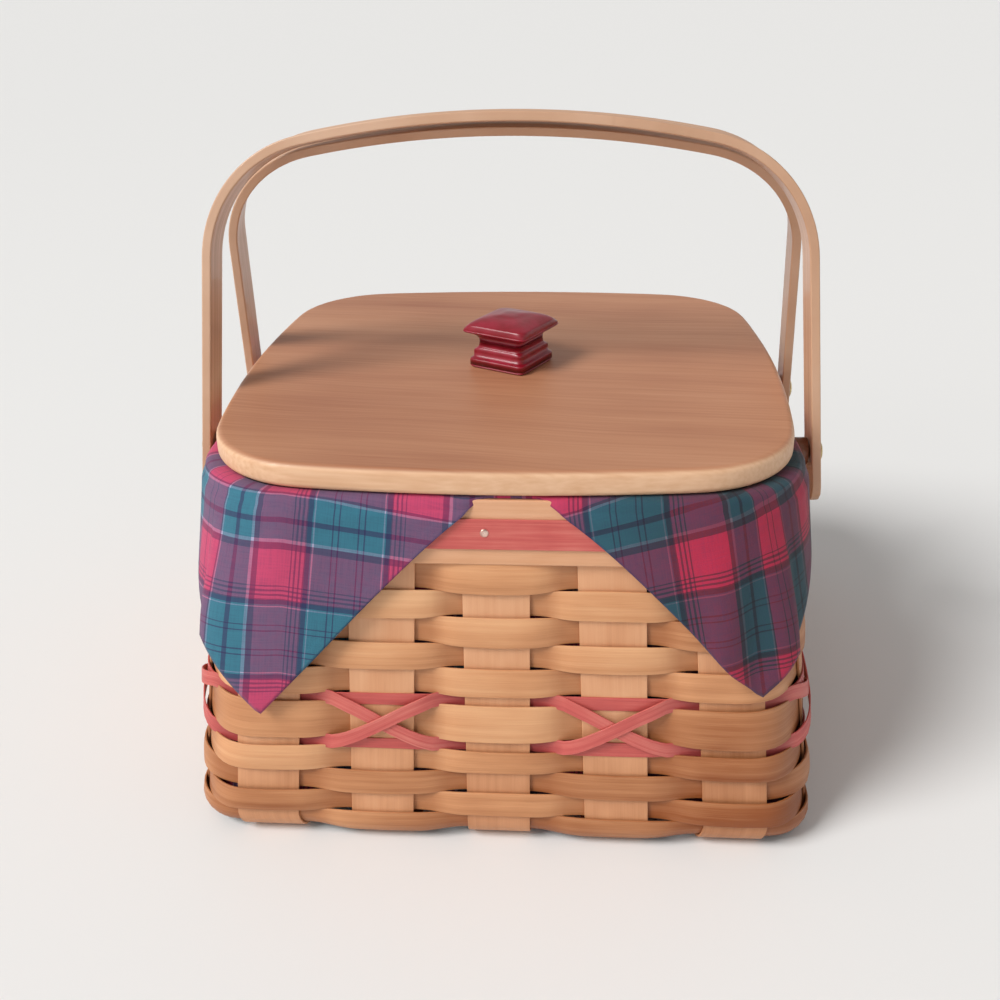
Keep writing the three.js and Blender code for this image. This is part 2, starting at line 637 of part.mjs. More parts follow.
// The direction square to the cloth at one place on its path, stretched to keep the thickness in a bend.
function clothDirection(path, k) {
  const step = (a, b) => {
    const run = b.out - a.out + (b.share - a.share) * BELLY_HALF_WIDTH;
    const rise = b.height - a.height;
    const length = Math.hypot(run, rise);
    return { run: run / length, rise: rise / length };
  };
  const before = step(path[Math.max(k - 1, 0)], path[Math.max(k, 1)]);
  const last = path.length - 1;
  const after = step(path[Math.min(k, last - 1)], path[Math.min(k + 1, last)]);
  const out = before.rise + after.rise;
  const up = -(before.run + after.run);
  const mitre = 2 / (out * out + up * up);
  return { out: out * mitre, up: up * mitre };
}

// The cloth lining, as an outer and an inner sheet joined at the hem.
function makeCloth() {
  const columns = clothColumns();
  const paths = columns.map(clothPath);
  const place = (column, { share, out, height }) => {
    const wall = wallAt(Math.max(height, BELLY_HEIGHT));
    const p = offWall(wall, columns[column].along * ringLength(wall.half, wall.radius), out);
    return new THREE.Vector3(p.x * share, p.y * share, height);
  };
  const sheet = (offset) =>
    paths[0].map((_, k) =>
      paths.map((path, column) => {
        const move = clothDirection(path, k);
        const { share, out, height } = path[k];
        return place(column, { share, out: out + offset * move.out, height: height + offset * move.up });
      }),
    );
  const outer = sheet(CLOTH_THICKNESS / 2);
  const inner = sheet(-CLOTH_THICKNESS / 2);
  return meshOf("cloth_liner", loft([...outer, ...inner.reverse()]), CLOTH);
}

// The outline of the lid at an inset from its edge: sides bowed out between round corners.
function lidOutline(inset, height) {
  const half = LID_HALF_WIDTH - LID_SIDE_BOW;
  const radius = LID_CORNER_RADIUS;
  const points = [];
  for (let side = 0; side < 4; side += 1) {
    const spin = (side * Math.PI) / 2;
    const put = (x, y) => {
      const p = new THREE.Vector2(x, y).rotateAround(new THREE.Vector2(), spin);
      points.push(new THREE.Vector3(p.x, p.y, height));
    };
    for (let k = 0; k < LID_SIDE_STEPS; k += 1) {
      const share = k / LID_SIDE_STEPS;
      const bow = LID_SIDE_BOW * 4 * share * (1 - share);
      put(THREE.MathUtils.lerp(-(half - radius), half - radius, share), -(half + bow - inset));
    }
    for (let k = 0; k < LID_CORNER_STEPS; k += 1) {
      const angle = (k / LID_CORNER_STEPS) * (Math.PI / 2);
      const reach = radius - inset;
      put(half - radius + reach * Math.sin(angle), -(half - radius + reach * Math.cos(angle)));
    }
  }
  return points;
}

function makeLidBoard() {
  const edge = [0, Math.PI / 4, Math.PI / 2];
  const rings = [];
  for (const angle of edge) {
    const inset = LID_EDGE_ROUND * (1 - Math.sin(angle));
    rings.push(lidOutline(inset, LID_BOTTOM + LID_EDGE_ROUND * (1 - Math.cos(angle))));
  }
  for (const angle of edge.toReversed()) {
    const inset = LID_EDGE_ROUND * (1 - Math.sin(angle));
    rings.push(lidOutline(inset, LID_TOP - LID_EDGE_ROUND * (1 - Math.cos(angle))));
  }
  const hole = new THREE.CylinderGeometry(
    SCREW_RADIUS + CLEAR,
    SCREW_RADIUS + CLEAR,
    LID_THICKNESS + 2 * OVERRUN,
    ROUND_SIDES,
  );
  hole.rotateX(Math.PI / 2);
  hole.translate(0, 0, LID_BOTTOM + LID_THICKNESS / 2);
  return meshOf("lid_board", cut(loft(rings), [hole]), LID_WOOD);
}

function makeBatten(name, side) {
  const geometry = new THREE.BoxGeometry(BATTEN_LENGTH, BATTEN_WIDTH, BATTEN_THICKNESS);
  geometry.translate(0, side * BATTEN_SPREAD, LID_BOTTOM - CLEAR - BATTEN_THICKNESS / 2);
  return meshOf(name, geometry, PALE_WOOD);
}

// A square ring with soft corners, for the knob.
function knobRing(width, height, squareness) {
  const points = [];
  for (let k = 0; k < KNOB_STEPS; k += 1) {
    const angle = (k / KNOB_STEPS) * 2 * Math.PI + Math.PI / 4;
    const c = Math.cos(angle);
    const s = Math.sin(angle);
    const spread = Math.abs(c) ** squareness + Math.abs(s) ** squareness;
    const reach = width / 2 / spread ** (1 / squareness);
    points.push(new THREE.Vector3(reach * c, reach * s, height));
  }
  return points;
}

// The knob: a stepped square foot, a hollow neck and a pillowed square top, bored for its screw.
function makeKnob() {
  const foot = LID_TOP + CLEAR;
  const rings = KNOB_OUTLINE_SHARES.map(({ width, height, squareness }) =>
    knobRing(width * KNOB_WIDTH, foot + height * KNOB_HEIGHT, squareness),
  );
  const depth = SCREW_BITE + CLEAR + OVERRUN;
  const bore = new THREE.CylinderGeometry(SCREW_RADIUS + CLEAR, SCREW_RADIUS + CLEAR, depth, ROUND_SIDES);
  bore.rotateX(Math.PI / 2);
  bore.translate(0, 0, foot - OVERRUN + depth / 2);
  const mesh = meshOf("lid_knob", cut(loft(rings), [bore]), RED_GLOSS);
  mesh.rotation.z = KNOB_TURN;
  return mesh;
}

// A solid turned about an axis, from its radii and heights.
function turned(profile) {
  const points = profile.map(([radius, height]) => new THREE.Vector2(radius, height));
  return new THREE.LatheGeometry(points, ROUND_SIDES);
}

function makeScrew() {
  const head = LID_BOTTOM - CLEAR;
  const tip = LID_TOP + CLEAR + SCREW_BITE - CLEAR;
  const geometry = turned([
    [0, head - SCREW_HEAD_THICKNESS],
    [SCREW_HEAD_RADIUS * SCREW_CROWN_SHARE, head - SCREW_HEAD_THICKNESS],
    [SCREW_HEAD_RADIUS, head - SCREW_HEAD_THICKNESS / 2],
    [SCREW_HEAD_RADIUS, head],
    [SCREW_RADIUS, head],
    [SCREW_RADIUS, tip - SCREW_RADIUS],
    [0, tip],
  ]);
  geometry.rotateX(Math.PI / 2);
  return meshOf("knob_screw", geometry, METAL);
}

// The handle's middle line in its own plane, from one foot over the crown to the other, with the
// strip's turn and width. Straight legs lean in, round shoulders turn them, and the crown is a shallow arc.
function handleLine(reach) {
  const splay = Math.atan(HANDLE_SPLAY);
  const radius = HANDLE_SHOULDER_RADIUS;
  const sine = Math.sin(HANDLE_CROWN_ANGLE);
  const cosine = Math.cos(HANDLE_CROWN_ANGLE);
  const shoulderHeight = reach - radius * cosine + radius * Math.sin(splay);
  const legTop = HANDLE_FOOT_HALF_SPREAD - shoulderHeight * HANDLE_SPLAY;
  const crownRadius = (legTop - radius * (Math.cos(splay) - sine)) / (sine - (1 - cosine) * HANDLE_SPLAY);
  const centreX = (crownRadius - radius) * sine;
  const centreZ = reach - crownRadius + (crownRadius - radius) * cosine;
  const half = HANDLE_FOOT_SHARES.map((share) => {
    const z = -HANDLE_FOOT_DROP + (HANDLE_WIDTH / 2) * (1 - Math.sqrt(1 - share * share));
    return { x: HANDLE_FOOT_HALF_SPREAD - z * HANDLE_SPLAY, z, angle: splay, width: HANDLE_WIDTH * share };
  });
  for (let k = 0; k <= HANDLE_SHOULDER_STEPS; k += 1) {
    const angle = THREE.MathUtils.lerp(splay, Math.PI / 2 - HANDLE_CROWN_ANGLE, k / HANDLE_SHOULDER_STEPS);
    const [x, z] = [centreX + radius * Math.cos(angle), centreZ + radius * Math.sin(angle)];
    half.push({ x, z, angle, width: HANDLE_WIDTH });
  }
  for (let k = 1; k <= HANDLE_CROWN_STEPS; k += 1) {
    const angle = Math.PI / 2 - HANDLE_CROWN_ANGLE * (1 - k / HANDLE_CROWN_STEPS);
    const [x, z] = [crownRadius * Math.cos(angle), reach - crownRadius * (1 - Math.sin(angle))];
    half.push({ x, z, angle, width: HANDLE_WIDTH });
  }
  const other = half.slice(0, -1).reverse();
  return [...half, ...other.map(({ x, z, angle, width }) => ({ x: -x, z, angle: Math.PI - angle, width }))];
}

// One handle, standing in the XZ plane with its pivots at the origin's height.
function handleGeometry(reach) {
  const rings = handleLine(reach).map(({ x, z, angle, width }) => {
    const half = HANDLE_THICKNESS / 2;
    const [dx, dz] = [Math.cos(angle) * half, Math.sin(angle) * half];
    return [
      new THREE.Vector3(x - dx, -width / 2, z - dz),
      new THREE.Vector3(x + dx, -width / 2, z + dz),
      new THREE.Vector3(x + dx, width / 2, z + dz),
      new THREE.Vector3(x - dx, width / 2, z - dz),
    ];
  });
  const inside = HANDLE_FOOT_HALF_SPREAD - HANDLE_THICKNESS - OVERRUN;
  const outside = HANDLE_FOOT_HALF_SPREAD + HANDLE_THICKNESS + OVERRUN;
  const holes = [-1, 1].map((side) => barAlongX(RIVET_RADIUS + CLEAR, side * inside, side * outside, 0, 0));
  return cut(loft(rings), holes);
}

// How far the front handle leans back before the underside of its crown meets the back handle's top.
function frontHandleLean() {
  const half = HANDLE_WIDTH / 2;
  const thick = HANDLE_THICKNESS / 2;
  const back = new THREE.Vector2(-Math.sin(BACK_HANDLE_LEAN), Math.cos(BACK_HANDLE_LEAN));
  const topEdge = back.clone().multiplyScalar(BACK_HANDLE_REACH + thick + CLEAR);
  topEdge.add(new THREE.Vector2(HANDLE_PIVOT_OFFSET, 0));
  let low = 0;
  let high = BACK_HANDLE_LEAN;
  for (let step = 0; step < LEAN_STEPS; step += 1) {
    const lean = (low + high) / 2;
    const up = new THREE.Vector2(Math.sin(lean), Math.cos(lean));
    const rear = up.clone().multiplyScalar(FRONT_HANDLE_REACH - thick);
    rear.add(new THREE.Vector2(Math.cos(lean), -Math.sin(lean)).multiplyScalar(half));
    rear.add(new THREE.Vector2(-HANDLE_PIVOT_OFFSET, 0));
    if (rear.sub(topEdge).dot(back) > 0) low = lean;
    else high = lean;
  }
  return low;
}

function makeHandle(name, side, reach, lean) {
  const mesh = meshOf(name, handleGeometry(reach), PALE_WOOD);
  mesh.rotation.x = side * lean;
  mesh.position.set(0, side * HANDLE_PIVOT_OFFSET, PIVOT_HEIGHT);
  return mesh;
}

// Where the rim's faces and the handle's faces lie at a pivot, measured out from the middle.
function pivotFaces() {
  const stakes = wallAt(PIVOT_HEIGHT).half;
  const tilt = (radius) => radius * Math.max(WALL_LEAN, HANDLE_SPLAY) + CLEAR;
  return {
    tail: stakes - BAND_OUTER - tilt(RIVET_TAIL_RADIUS),
    spacerInner: stakes + STRIP_OUTER + tilt(SPACER_RADIUS),
    spacerOuter: HANDLE_FOOT_HALF_SPREAD - HANDLE_THICKNESS / 2 - tilt(SPACER_RADIUS),
    head: HANDLE_FOOT_HALF_SPREAD + HANDLE_THICKNESS / 2 + tilt(RIVET_HEAD_RADIUS),
  };
}

function makeRivet({ name, x, y }) {
  const faces = pivotFaces();
  const geometry = turned([
    [0, faces.tail - RIVET_TAIL_THICKNESS],
    [RIVET_TAIL_RADIUS, faces.tail - RIVET_TAIL_THICKNESS],
    [RIVET_TAIL_RADIUS, faces.tail],
    [RIVET_RADIUS, faces.tail],
    [RIVET_RADIUS, faces.head],
    [RIVET_HEAD_RADIUS, faces.head],
    [RIVET_HEAD_RADIUS * RIVET_CROWN_WIDTH_SHARE, faces.head + RIVET_HEAD_THICKNESS * RIVET_CROWN_HEIGHT_SHARE],
    [0, faces.head + RIVET_HEAD_THICKNESS],
  ]);
  const mesh = meshOf(`pivot_rivet_${name}`, geometry, METAL);
  mesh.rotation.z = (-x * Math.PI) / 2;
  mesh.position.set(0, y * HANDLE_PIVOT_OFFSET, PIVOT_HEIGHT);
  return mesh;
}

function makeSpacer({ name, x, y }) {
  const faces = pivotFaces();
  const bore = RIVET_RADIUS + CLEAR;
  const geometry = turned([
    [bore, faces.spacerInner],
    [SPACER_RADIUS, faces.spacerInner],
    [SPACER_RADIUS, faces.spacerOuter],
    [bore, faces.spacerOuter],
    [bore, faces.spacerInner],
  ]);
  const mesh = meshOf(`pivot_spacer_${name}`, geometry, PALE_WOOD);
  mesh.rotation.z = (-x * Math.PI) / 2;
  mesh.position.set(0, y * HANDLE_PIVOT_OFFSET, PIVOT_HEIGHT);
  return mesh;
}

function makeStakes(rows) {
  const group = new THREE.Group();
  const half = (STAKES_PER_SIDE - 1) / 2;
  const holes = rivetHoles(RIM_HALF_WIDTH / 2, BELLY_HALF_WIDTH + OVERRUN);
  for (let number = -half; number <= half; number += 1) {
    const place = number + half + 1;
    group.add(makeStake(`front_back_stake_${place}`, number, rows, false));
    const sideStake = makeStake(`side_to_side_stake_${place}`, number, rows, true);
    if (Math.abs(number) === 1) sideStake.geometry = cut(sideStake.geometry, holes);
    group.add(sideStake);
  }
  return group;
}

function makeFillers() {
  const group = new THREE.Group();
  const most = BASE_CELLS - STAKES_PER_SIDE;
  for (let place = 1; place <= most; place += 1) {
    const number = 2 * place - most - 1;
    group.add(makeFiller(`front_back_filler_${place}`, number, false));
    group.add(makeFiller(`side_to_side_filler_${place}`, number, true));
  }
  return group;
}

function makeRim() {
  const group = new THREE.Group();
  const holes = rivetHoles(RIM_HALF_WIDTH / 2, BELLY_HALF_WIDTH + OVERRUN);
  const outer = rimBand(RIM_BAND_TOP, RIM_BAND_BOTTOM, BAND_INNER, BAND_OUTER);
  const inner = rimBand(RIM_BAND_TOP, RIM_BAND_BOTTOM, -BAND_OUTER, -BAND_INNER);
  const strip = rimBand(RED_STRIP_TOP, RED_STRIP_TOP - RED_STRIP_HEIGHT, BAND_OUTER + CLEAR, STRIP_OUTER);
  group.add(meshOf("outer_rim_band", cut(outer, holes), PALE_WOOD));
  group.add(meshOf("inner_rim_band", cut(inner, holes), PALE_WOOD));
  group.add(meshOf("red_rim_strip", cut(strip, holes), RED_SPLINT));
  return group;
}

function makeBasket() {
  const rows = weavingRows();
  const basket = new THREE.Group();
  basket.add(makeStakes(rows), makeFillers());
  for (const row of rows) basket.add(makeRow(row));
  basket.add(makeCrossStrip("red_cross_strip_under", true, 1, rows));
  basket.add(makeCrossStrip("red_cross_strip_over", false, 2, rows));
  basket.add(makeRim(), makeCloth());
  for (const pivot of PIVOTS) basket.add(makeRivet(pivot), makeSpacer(pivot));
  return basket;
}

function makeLid() {
  const lid = new THREE.Group();
  lid.add(makeLidBoard(), makeBatten("lid_batten_front", -1), makeBatten("lid_batten_back", 1));
  lid.add(makeKnob(), makeScrew());
  return lid;
}

const model = new THREE.Group();
model.add(makeBasket(), makeLid());
model.add(makeHandle("front_handle", -1, FRONT_HANDLE_REACH, frontHandleLean()));
model.add(makeHandle("back_handle", 1, BACK_HANDLE_REACH, BACK_HANDLE_LEAN));

export default model;
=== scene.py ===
"""A square lidded basket woven of flat wood splints, with two swing handles and a plaid cloth lining.

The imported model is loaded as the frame, and each of its pieces is made again with its full form and
finish. Sizes are in millimetres until a piece is placed, and the front of the basket faces -Y.
"""

import logging
import math
import random
from dataclasses import dataclass
from enum import Enum
from typing import Callable

import bmesh
import bpy
from mathutils import Matrix, Vector

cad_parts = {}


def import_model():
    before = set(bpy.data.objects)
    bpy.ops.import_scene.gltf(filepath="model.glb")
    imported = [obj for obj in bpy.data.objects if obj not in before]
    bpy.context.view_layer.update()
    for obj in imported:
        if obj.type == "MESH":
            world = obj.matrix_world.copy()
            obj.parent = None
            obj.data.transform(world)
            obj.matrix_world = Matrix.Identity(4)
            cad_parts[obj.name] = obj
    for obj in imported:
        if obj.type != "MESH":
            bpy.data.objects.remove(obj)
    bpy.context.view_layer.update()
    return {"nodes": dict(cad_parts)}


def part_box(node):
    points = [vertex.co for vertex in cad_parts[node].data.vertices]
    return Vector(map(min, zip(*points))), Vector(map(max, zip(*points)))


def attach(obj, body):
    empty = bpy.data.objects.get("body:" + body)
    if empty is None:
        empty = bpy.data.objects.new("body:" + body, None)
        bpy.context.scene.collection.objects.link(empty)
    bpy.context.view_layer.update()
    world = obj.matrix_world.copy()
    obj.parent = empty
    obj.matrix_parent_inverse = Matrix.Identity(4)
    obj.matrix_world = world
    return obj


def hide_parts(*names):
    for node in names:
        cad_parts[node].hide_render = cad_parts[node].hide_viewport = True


LOG = logging.getLogger("basket")
MM = 0.001
MERGE = 1e-6
MADE: dict[str, bpy.types.Material] = {}
Color = tuple[float, float, float, float]
Point = tuple[float, float, float]
Place = Callable[[float, float], Vector]
Share = Callable[[float, float], float]
Surface = Callable[[float, float, float], tuple[float, float]]


def shade(red: int, green: int, blue: int) -> Color:
    """The linear color of a screen color.

    Args:
        red: Red, from 0 to 255.
        green: Green, from 0 to 255.
        blue: Blue, from 0 to 255.

    Returns:
        Red, green, blue and full opacity.
    """
    parts = []
    for part in (red, green, blue):
        value = part / 255
        parts.append(value / 12.92 if value <= 0.04045 else ((value + 0.055) / 1.055) ** 2.4)
    return (parts[0], parts[1], parts[2], 1.0)


def lerp(start: float, end: float, share: float) -> float:
    """The value a share of the way from start to end."""
    return start + (end - start) * share


def ease(low: float, high: float, value: float) -> float:
    """A smooth step from 0 at low to 1 at high."""
    share = min(max((value - low) / (high - low), 0.0), 1.0)
    return share * share * (3 - 2 * share)


# ------------------------------------------------------------------------------------------ materials


class Value:
    """A number carried by a shader socket, with the sums that the finishes use."""

    def __init__(self, graph: "Graph", socket: bpy.types.NodeSocket) -> None:
        """Keeps the graph and the socket."""
        self.graph = graph
        self.socket = socket

    def _math(self, operation: str, other: "Value | float", flipped: bool = False) -> "Value":
        """One Math node between this value and another.

        Args:
            operation: The Math node's operation.
            other: The other value or number.
            flipped: Whether the other one comes first.

        Returns:
            The result.
        """
        first, second = (other, self) if flipped else (self, other)
        node = self.graph.node("ShaderNodeMath", {"operation": operation}, {0: first, 1: second})
        return Value(self.graph, node.outputs[0])

    def __add__(self, other: "Value | float") -> "Value":
        """The sum."""
        return self._math("ADD", other)

    def __radd__(self, other: float) -> "Value":
        """The sum, with the number first."""
        return self._math("ADD", other, flipped=True)

    def __sub__(self, other: "Value | float") -> "Value":
        """The difference."""
        return self._math("SUBTRACT", other)

    def __rsub__(self, other: float) -> "Value":
        """The difference, with the number first."""
        return self._math("SUBTRACT", other, flipped=True)

    def __mul__(self, other: "Value | float") -> "Value":
        """The product."""
        return self._math("MULTIPLY", other)

    def __rmul__(self, other: float) -> "Value":
        """The product, with the number first."""
        return self._math("MULTIPLY", other, flipped=True)

    def fraction(self) -> "Value":
        """What is left after the whole part."""
        return self._math("FRACT", 0.0)

    def folded(self, length: float) -> "Value":
        """The value run back and forth over a length."""
        return self._math("PINGPONG", length)

    def above(self, level: float) -> "Value":
        """1 where the value is above the level, else 0."""
        return self._math("GREATER_THAN", level)

    def smooth(self, low: float, high: float) -> "Value":
        """A smooth step, from 0 at the low level to 1 at the high one."""
        settings = {"interpolation_type": "SMOOTHSTEP"}
        sockets = {0: self, 1: low, 2: high, 3: 0.0, 4: 1.0}
        return Value(self.graph, self.graph.node("ShaderNodeMapRange", settings, sockets).outputs[0])


class Graph:
    """The node tree of one material, or of the world."""

    def __init__(self, name: str, world: bool = False) -> None:
        """Makes the material or the world and clears its tree."""
        self.owner = (bpy.data.worlds if world else bpy.data.materials).new(name)
        self.owner.use_nodes = True
        self.tree = self.owner.node_tree
        self.tree.nodes.clear()

    def node(
        self, kind: str, settings: dict[str, object], sockets: dict[int | str, object]
    ) -> bpy.types.Node:
        """Adds any node.

        Args:
            kind: The node's type.
            settings: Its settings.
            sockets: The values or links of its inputs.

        Returns:
            The node.
        """
        node = self.tree.nodes.new(kind)
        for name, setting in settings.items():
            setattr(node, name, setting)
        for key, value in sockets.items():
            source = value.socket if isinstance(value, Value) else value
            if isinstance(source, bpy.types.NodeSocket):
                self.tree.links.new(source, node.inputs[key])
            else:
                node.inputs[key].default_value = source
        return node

    def surface(self) -> bpy.types.NodeSocket:
        """The piece's own UV map, in metres along and across."""
        return self.node("ShaderNodeUVMap", {"uv_map": "UVMap"}, {}).outputs[0]

    def space(self) -> bpy.types.NodeSocket:
        """Object coordinates, in metres."""
        return self.node("ShaderNodeTexCoord", {}, {}).outputs["Object"]

    def attribute(self, name: str) -> Value:
        """A number stored on the piece's points."""
        return Value(self, self.node("ShaderNodeAttribute", {"attribute_name": name}, {}).outputs["Fac"])

    def split(self, vector: bpy.types.NodeSocket) -> list[Value]:
        """The three parts of a vector."""
        node = self.node("ShaderNodeSeparateXYZ", {}, {0: vector})
        return [Value(self, out) for out in node.outputs]

    def noise(self, vector: bpy.types.NodeSocket, scale: Point, detail: float) -> Value:
        """Stretched noise.

        Args:
            vector: The coordinates.
            scale: How fast it changes on each axis, per metre.
            detail: How many finer layers it has.

        Returns:
            The noise, about 0.5.
        """
        stretched = self.node("ShaderNodeVectorMath", {"operation": "MULTIPLY"}, {0: vector, 1: scale})
        sockets = {"Vector": stretched.outputs[0], "Scale": 1.0, "Detail": detail}
        return Value(self, self.node("ShaderNodeTexNoise", {}, sockets).outputs["Fac"])

    def ramp(
        self, value: Value, stops: list[tuple[float, Color]], sharp: bool = False
    ) -> bpy.types.NodeSocket:
        """Colors by a value.

        Args:
            value: The value, from 0 to 1.
            stops: Each stop's place and color.
            sharp: Whether a stop's color holds until the next stop.

        Returns:
            The color.
        """
        node = self.node("ShaderNodeValToRGB", {}, {0: value})
        node.color_ramp.interpolation = "CONSTANT" if sharp else "LINEAR"
        elements = node.color_ramp.elements
        elements.remove(elements[-1])
        elements[0].position, elements[0].color = stops[0]
        for place, color in stops[1:]:
            elements.new(place).color = color
        return node.outputs[0]

    def mix(
        self, share: object, first: object, second: object, mode: str = "MIX"
    ) -> bpy.types.NodeSocket:
        """Two colors mixed.

        Args:
            share: The share of the second.
            first: The first color.
            second: The second color.
            mode: How they mix.

        Returns:
            The color.
        """
        settings = {"data_type": "RGBA", "blend_type": mode}
        return self.node("ShaderNodeMix", settings, {0: share, 6: first, 7: second}).outputs[2]

    def bump(self, height: Value, depth: float, strength: float) -> bpy.types.NodeSocket:
        """The normal of a height from 0 to 1 that is so many metres deep."""
        sockets = {"Height": height, "Distance": depth, "Strength": strength}
        return self.node("ShaderNodeBump", {}, sockets).outputs[0]

    def finish(self, sockets: dict[int | str, object]) -> bpy.types.Material:
        """Ends the tree in a surface shader with these values and links."""
        shader = self.node("ShaderNodeBsdfPrincipled", {}, sockets)
        self.node("ShaderNodeOutputMaterial", {}, {0: shader.outputs[0]})
        return self.owner


@dataclass(frozen=True)
class SplintFinish:
    """Oiled, unpainted splint wood: fibres run along each strip, and each crossing has its own tone, with
    painted shade added.
    """

    name: str
    pale: Color
    warm: Color
    dark: Color
    figure: float = 1.0
    roughness: float = 0.52
    relief: float = 0.00025

    def make(self) -> bpy.types.Material:
        """Builds the material."""
        graph = Graph(self.name)
        uv = graph.surface()
        fibres = graph.noise(uv, (28.0, 2600.0, 1.0), 4.0)
        streaks = graph.noise(uv, (7.0, 330.0, 1.0), 3.0)
        cloud = graph.noise(uv, (16.0, 40.0, 1.0), 2.0)
        # The "tone" attribute holds each crossing's own tone plus painted shade: darker towards the base, on
        # the right side, at the corners and along each weaver's lower edge.
        tone = graph.attribute("tone")
        dive = graph.attribute("dive")
        figure = (fibres - 0.5) * (0.24 * self.figure) + (streaks - 0.5) * (0.34 * self.figure)
        grain = figure + cloud * 0.5 + tone * 0.62 - 0.06
        color = graph.ramp(grain, [(0.22, self.pale), (0.52, self.warm), (0.95, self.dark)])
        pores = graph.noise(uv, (55.0, 5200.0, 1.0), 2.0).smooth(0.6, 0.78)
        color = graph.mix(pores * 0.2, color, self.dark)
        # Painted shade: the strip darkens where it goes in behind a stake.
        color = graph.mix(dive * 0.45, color, self.dark)
        rough = self.roughness + (streaks - 0.5) * 0.2
        normal = graph.bump(fibres * 0.6 + streaks * 0.8, self.relief * self.figure, 0.8)
        return graph.finish({"Base Color": color, "Roughness": rough, "Normal": normal, "Coat Weight": 0.06})


@dataclass(frozen=True)
class StainFinish:
    """A see-through colored stain on splint wood, thinner on some fibres."""

    name: str
    light: Color
    full: Color
    deep: Color

    def make(self) -> bpy.types.Material:
        """Builds the material."""
        graph = Graph(self.name)
        uv = graph.surface()
        fibres = graph.noise(uv, (26.0, 3000.0, 1.0), 4.0)
        streaks = graph.noise(uv, (9.0, 520.0, 1.0), 3.0)
        cloud = graph.noise(uv, (45.0, 90.0, 1.0), 2.0)
        # On the red weaving rows the "tone" attribute also holds painted shade.
        grain = fibres * 0.4 + streaks * 0.45 + cloud * 0.3 + graph.attribute("tone") * 0.4 - 0.27
        color = graph.ramp(grain, [(0.2, self.light), (0.48, self.full), (0.9, self.deep)])
        # Painted shade: the strip darkens where it goes in behind a stake.
        color = graph.mix(graph.attribute("dive") * 0.6, color, self.deep)
        normal = graph.bump(fibres * 0.6 + streaks, 0.0002, 0.8)
        return graph.finish({"Base Color": color, "Roughness": 0.5, "Normal": normal, "Coat Weight": 0.08})


@dataclass(frozen=True)
class BoardFinish:
    """A satin wooden board: broad grain runs from side to side, and its edge is paler than its face, partly
    its own edge color and partly painted light on the rounded edge.
    """

    name: str
    face_light: Color
    face: Color
    face_dark: Color
    edge: Color
    edge_dark: Color
    edge_low: float
    edge_high: float

    def make(self) -> bpy.types.Material:
        """Builds the material."""
        graph = Graph(self.name)
        space = graph.space()
        sway = graph.noise(space, (3.0, 5.0, 1.0), 2.0)
        x, y, z = graph.split(space)
        skewed = {0: x, 1: y + x * 0.09 + sway * 0.035, 2: z}
        joined = graph.node("ShaderNodeCombineXYZ", {}, skewed).outputs[0]
        broad = graph.noise(joined, (2.4, 34.0, 20.0), 4.0)
        fine = graph.noise(joined, (14.0, 620.0, 400.0), 4.0)
        flecks = graph.noise(joined, (60.0, 900.0, 300.0), 2.0).smooth(0.62, 0.8)
        cloud = graph.noise(space, (7.0, 9.0, 9.0), 2.0)
        grain = broad * 0.42 + fine * 0.24 + cloud * 0.36
        face = graph.ramp(grain, [(0.34, self.face_light), (0.5, self.face), (0.68, self.face_dark)])
        face = graph.mix(flecks * 0.22, face, self.face_dark)
        edge = graph.ramp(fine * 0.6 + broad * 0.4, [(0.38, self.edge), (0.66, self.edge_dark)])
        # Paler edge below the top face: partly the board's own edge color, partly painted light.
        top = z.smooth(self.edge_low, self.edge_high)
        color = graph.mix(top, edge, face)
        rough = 0.5 + (fine - 0.5) * 0.18
        normal = graph.bump(fine * 0.5 + broad * 0.3, 0.0002, 0.5)
        return graph.finish({"Base Color": color, "Roughness": rough, "Normal": normal, "Coat Weight": 0.04})


@dataclass(frozen=True)
class BentWoodFinish:
    """Smooth steam-bent wood, with straight grain along the strip."""

    name: str
    pale: Color
    warm: Color
    dark: Color

    def make(self) -> bpy.types.Material:
        """Builds the material."""
        graph = Graph(self.name)
        uv = graph.surface()
        lines = graph.noise(uv, (3.2, 330.0, 1.0), 4.0)
        fine = graph.noise(uv, (18.0, 1900.0, 1.0), 3.0)
        stops = [(0.34, self.pale), (0.52, self.warm), (0.72, self.dark)]
        color = graph.ramp(lines * 0.65 + fine * 0.35, stops)
        flecks = graph.noise(uv, (80.0, 2400.0, 1.0), 2.0).smooth(0.64, 0.8)
        color = graph.mix(flecks * 0.3, color, self.dark)
        normal = graph.bump(lines * 0.5 + fine * 0.5, 0.00015, 0.5)
        return graph.finish({"Base Color": color, "Roughness": 0.38, "Normal": normal, "Coat Weight": 0.15})


@dataclass(frozen=True)
class GlossFinish:
    """Thick glossy paint with faint brush waves, worn a little lighter here and there."""

    name: str
    full: Color
    light: Color

    def make(self) -> bpy.types.Material:
        """Builds the material."""
        graph = Graph(self.name)
        space = graph.space()
        cloud = graph.noise(space, (120.0, 120.0, 120.0), 3.0)
        waves = graph.noise(space, (240.0, 240.0, 520.0), 2.0)
        color = graph.ramp(cloud, [(0.35, self.full), (0.75, self.light)])
        normal = graph.bump(waves * 0.5 + cloud * 0.5, 0.0004, 0.35)
        rough = 0.35 + (cloud - 0.5) * 0.12
        sockets = {"Base Color": color, "Roughness": rough, "Normal": normal, "Coat Weight": 0.2}
        return graph.finish({**sockets, "Coat Roughness": 0.25, "Specular IOR Level": 0.5})


